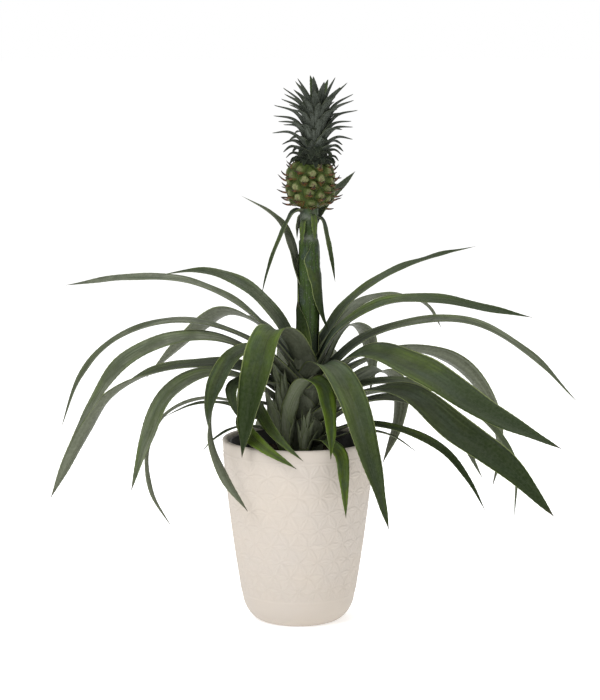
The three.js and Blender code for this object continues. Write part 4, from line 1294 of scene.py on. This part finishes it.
def soft_light(name, place, size, power):
    """A square soft light that faces the middle of the plant."""
    light = bpy.data.lights.new(name, "AREA")
    light.size = size
    light.energy = power
    lamp = linked(name, light)
    lamp.location = place
    aim = np.array(PLANT_MIDDLE) - place
    lamp.rotation_euler = (math.atan2(math.hypot(aim[0], aim[1]), -aim[2]), 0, math.atan2(-aim[0], aim[1]))


def colour_property(name, description, default):
    return FloatVectorProperty(name=name, description=description, default=default, subtype="COLOR", min=0,
                               max=1)


def length_property(name, description, default):
    return FloatProperty(name=name, description=description, default=default, subtype="DISTANCE",
                         unit="LENGTH", precision=5, min=0)


def count_property(name, description, default, low):
    return IntProperty(name=name, description=description, default=default, min=low)


def light_property(name, description, default, subtype="POWER"):
    return FloatProperty(name=name, description=description, default=default, min=0, subtype=subtype)


class PotLooks(bpy.types.PropertyGroup):
    """Ceramic pot: its relief and its clay."""
    flowers: count_property("Flowers", "Flowers of the lattice round the pot", 22, 6)
    relief_depth: length_property("Relief depth", "How far the petals stand out", 0.45 * MM)
    relief_foot: length_property("Relief foot", "Height at which the lattice starts", 20 * MM)
    plain_lip: length_property("Plain lip", "Smooth band above the lattice", 10 * MM)
    rows: count_property("Rows", "Rows of points up the side", 172, 20)
    columns: count_property("Columns", "Points round the pot", 432, 32)
    clay: colour_property("Clay", "Main colour of the clay", (0.535, 0.485, 0.435))
    clay_warm: colour_property("Warm clay", "Warmer patches of the clay", (0.55, 0.492, 0.43))
    # Colour of the painted shade in the relief's hollows.
    painted_hollow_shade: colour_property("Clay in hollows", "Clay in the relief's hollows", (0.46, 0.41, 0.355))


class SoilLooks(bpy.types.PropertyGroup):
    """Growing pot and peat."""
    plastic: colour_property("Plastic", "Growing pot", (0.012, 0.012, 0.011))
    dust: colour_property("Dust", "Dried splashes on the growing pot", (0.05, 0.043, 0.036))
    peat: colour_property("Moist peat", "Darkest peat", (0.016, 0.011, 0.008))
    peat_dry: colour_property("Dry peat", "Paler peat", (0.05, 0.033, 0.022))
    bark: colour_property("Bark", "Specks of bark and fibre", (0.11, 0.075, 0.045))
    clods: count_property("Clods", "Round clods in the bed", 420, 0)
    crumbs: count_property("Crumbs", "Loose crumbs on the bed", 900, 1)
    seed: count_property("Seed", "Seed of the clods and crumbs", 7, 0)


class LeafLooks(bpy.types.PropertyGroup):
    """Leaf skin, teeth and ripples, for the rosette, the stalk and the side shoots."""
    tooth_pitch: length_property("Tooth pitch", "Distance between marginal teeth", 2.4 * MM)
    tooth_height: length_property("Tooth height", "How far a tooth stands out", 0.16 * MM)
    ripple: length_property("Ripple", "Height of the margins' ripples", 0.22 * MM)
    deep: colour_property("Deep green", "Middle of a dull leaf", (0.015, 0.021, 0.008))
    green: colour_property("Green", "Margins of a dull leaf, middle of a bright one", (0.04, 0.057, 0.01))
    bright: colour_property("Bright green", "Margins of a bright leaf", (0.092, 0.15, 0.008))
    blue: colour_property("Blue-green", "Blue-green patches", (0.034, 0.055, 0.033))
    # Blue-grey of the leaf bases, darkened by painted shade in the heart of the rosette.
    root: colour_property("Root", "Blue-grey near the root", (0.022, 0.035, 0.038))
    young: colour_property("Young foot", "Foot of a side shoot's leaf", (0.1, 0.145, 0.018))
    young_blade: colour_property("Young blade", "Outer side of a side shoot's leaf", (0.1, 0.128, 0.052))
    # Pale grey of the waxy coat, which also paints the sheen of the greyest leaves.
    wax_and_sheen: colour_property("Wax", "Pale bloom", (0.175, 0.19, 0.138))
    beneath: colour_property("Underside", "Green of the underside", (0.075, 0.085, 0.052))
    margin: colour_property("Margin", "Line along the margins", (0.26, 0.31, 0.12))
    tip: colour_property("Tip", "Dry tip", (0.06, 0.05, 0.028))
    # Painted shade laid over the outer half of a leaf with little waxy coat.
    outer: colour_property("Outer half", "Deep green of a glossy leaf's outer half", (0.009, 0.02, 0.002))
    stalk: colour_property("Stalk", "Bright streaks of the stalk", (0.032, 0.062, 0.009))
    scurf: colour_property("Scurf", "Grey scurf on the stalk", (0.15, 0.165, 0.135))


class FruitLooks(bpy.types.PropertyGroup):
    """Fruit: its eyes, furrows and spines."""
    eye_height: length_property("Eye height", "How far an eye stands out of the furrows", 2.1 * MM)
    spine_length: length_property("Spine length", "Reach of the longest bract", 7.6 * MM)
    eye_pale: colour_property("Pale eye", "Middle of the palest eyes", (0.195, 0.21, 0.09))
    eye_green: colour_property("Green eye", "Rim of an eye", (0.043, 0.064, 0.01))
    eye_heart: colour_property("Heart", "Dry middle of an eye", (0.15, 0.1, 0.06))
    # Near-black green between the eyes, partly painted shade in the furrows.
    furrow: colour_property("Furrow", "Between the eyes", (0.016, 0.028, 0.004))
    flush: colour_property("Flush", "Red-brown of the bracts", (0.13, 0.047, 0.016))
    spine: colour_property("Spine", "Dark tips of the bracts", (0.028, 0.013, 0.01))
    seed: count_property("Seed", "Seed of the eyes' and spines' differences", 3, 0)


class CrownLooks(bpy.types.PropertyGroup):
    """Crown of the fruit."""
    crown_width: length_property("Leaf width", "Width of a crown leaf at its foot", 12 * MM)
    deep: colour_property("Deep green", "Middle of a crown leaf", (0.013, 0.016, 0.011))
    green: colour_property("Green", "Margins of a crown leaf", (0.028, 0.035, 0.022))
    bright: colour_property("Bright green", "Margins of the youngest leaves", (0.07, 0.115, 0.02))
    blue: colour_property("Blue-green", "Blue-green patches", (0.028, 0.038, 0.036))
    # Foot of a crown leaf: nearly black, painted shade among the packed leaves.
    root: colour_property("Root", "Foot of a crown leaf", (0.010, 0.013, 0.007))
    # Pale grey of the waxy coat on the crown, which also paints its sheen.
    wax_and_sheen: colour_property("Wax", "Pale bloom", (0.105, 0.118, 0.1))
    beneath: colour_property("Underside", "Green of the underside", (0.026, 0.031, 0.022))
    margin: colour_property("Margin", "Line along the margins", (0.13, 0.15, 0.09))
    tip: colour_property("Tip", "Dry tip", (0.05, 0.04, 0.026))
    # Painted shade laid over the outer half of a crown leaf with little waxy coat.
    outer: colour_property("Outer half", "Deep green of a glossy leaf's outer half", (0.016, 0.021, 0.013))
    seed: count_property("Seed", "Seed of the leaves' differences", 11, 0)


class StageLooks(bpy.types.PropertyGroup):
    """Floor, light and camera."""
    floor_radius: length_property("Floor radius", "Radius of the floor", 40.0)
    paper: colour_property("Floor", "Colour of the floor", (0.94, 0.94, 0.94))
    floor_glow: light_property("Floor glow", "Light of the floor itself", 0.4, "FACTOR")
    sky: colour_property("Surround", "Colour of the light all round", (1.0, 1.0, 1.0))
    sky_strength: light_property("Surround strength", "Light all round", 0.65, "FACTOR")
    key_power: light_property("Key light", "Power of the left light", 24)
    fill_power: light_property("Fill light", "Power of the right light", 5)
    top_power: light_property("Top light", "Power of the light from above", 16)
    lens: FloatProperty(name="Lens", description="Focal length", default=111.96, min=1, unit="CAMERA")
    shift: FloatProperty(name="Shift", description="Sideways shift of the picture", default=0.00214)
    distance: length_property("Camera distance", "From the plant's axis", 1.5)
    eye_level: length_property("Camera height", "Above the floor", 0.405)
    pitch: FloatProperty(name="Camera pitch", description="How far the camera looks down",
                         default=math.radians(8.15), subtype="ANGLE", unit="ROTATION")


class PINEAPPLE_OT_stage(bpy.types.Operator):
    """Lay the floor and set the lights and the camera"""
    bl_idname = "pineapple.stage"
    bl_label = "Set the Stage"

    def execute(self, context):
        build_stage(context.scene.pineapple_stage)
        return {"FINISHED"}


class PINEAPPLE_OT_pot(bpy.types.Operator):
    """Build the ceramic pot with its lattice of flowers"""
    bl_idname = "pineapple.pot"
    bl_label = "Build the Ceramic Pot"

    def execute(self, context):
        build_pot(context.scene.pineapple_pot)
        return {"FINISHED"}


class PINEAPPLE_OT_soil(bpy.types.Operator):
    """Build the growing pot and fill it with peat"""
    bl_idname = "pineapple.soil"
    bl_label = "Build the Growing Pot and Soil"

    def execute(self, context):
        build_growing_pot(context.scene.pineapple_soil)
        build_soil(context.scene.pineapple_soil)
        return {"FINISHED"}


class PINEAPPLE_OT_stalk(bpy.types.Operator):
    """Build the stem, its sheaths and the bracts under the fruit"""
    bl_idname = "pineapple.stalk"
    bl_label = "Build the Stem and Stalk"

    def execute(self, context):
        build_stalk(context.scene.pineapple_leaf)
        return {"FINISHED"}


class PINEAPPLE_OT_leaves(bpy.types.Operator):
    """Build the leaves of the rosette and of the stalk"""
    bl_idname = "pineapple.leaves"
    bl_label = "Build the Leaves"

    def execute(self, context):
        build_leaves(context.scene.pineapple_leaf)
        return {"FINISHED"}


class PINEAPPLE_OT_shoots(bpy.types.Operator):
    """Build the young side shoots at the plant's foot"""
    bl_idname = "pineapple.shoots"
    bl_label = "Build the Side Shoots"

    def execute(self, context):
        build_shoots(context.scene.pineapple_leaf)
        return {"FINISHED"}


class PINEAPPLE_OT_fruit(bpy.types.Operator):
    """Build the fruit with its eyes and spines"""
    bl_idname = "pineapple.fruit"
    bl_label = "Build the Fruit"

    def execute(self, context):
        build_fruit(context.scene.pineapple_fruit)
        return {"FINISHED"}


class PINEAPPLE_OT_crown(bpy.types.Operator):
    """Build the crown of leaves on the fruit"""
    bl_idname = "pineapple.crown"
    bl_label = "Build the Crown"

    def execute(self, context):
        build_crown(context.scene.pineapple_crown)
        return {"FINISHED"}


class PINEAPPLE_PT_panel(bpy.types.Panel):
    """Sizes and colours of the plant, with a button for each piece"""
    bl_idname = "PINEAPPLE_PT_panel"
    bl_label = "Potted Pineapple"
    bl_space_type = "VIEW_3D"
    bl_region_type = "UI"
    bl_category = "Pineapple"

    def draw(self, context):
        for key, group in LOOKS.items():
            box = self.layout.box()
            box.label(text=group.__doc__)
            for name in group.__annotations__:
                box.prop(getattr(context.scene, key), name)
        for operator in OPERATORS:
            self.layout.operator(operator.bl_idname)


LOOKS = {
    "pineapple_pot": PotLooks,
    "pineapple_soil": SoilLooks,
    "pineapple_leaf": LeafLooks,
    "pineapple_fruit": FruitLooks,
    "pineapple_crown": CrownLooks,
    "pineapple_stage": StageLooks,
}
OPERATORS = [
    PINEAPPLE_OT_stage, PINEAPPLE_OT_pot, PINEAPPLE_OT_soil, PINEAPPLE_OT_stalk, PINEAPPLE_OT_leaves,
    PINEAPPLE_OT_shoots, PINEAPPLE_OT_fruit, PINEAPPLE_OT_crown,
]


def register():
    for group in [*LOOKS.values(), *OPERATORS, PINEAPPLE_PT_panel]:
        bpy.utils.register_class(group)
    for key, group in LOOKS.items():
        setattr(bpy.types.Scene, key, PointerProperty(type=group))


def unregister():
    for key in LOOKS:
        delattr(bpy.types.Scene, key)
    for group in [PINEAPPLE_PT_panel, *OPERATORS, *LOOKS.values()]:
        bpy.utils.unregister_class(group)


def main():
    """Builds every piece in order."""
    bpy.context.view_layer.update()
    register()
    for operator in OPERATORS:
        group, name = operator.bl_idname.split(".")
        getattr(getattr(bpy.ops, group), name)()


if __name__ == "__main__":
    main()
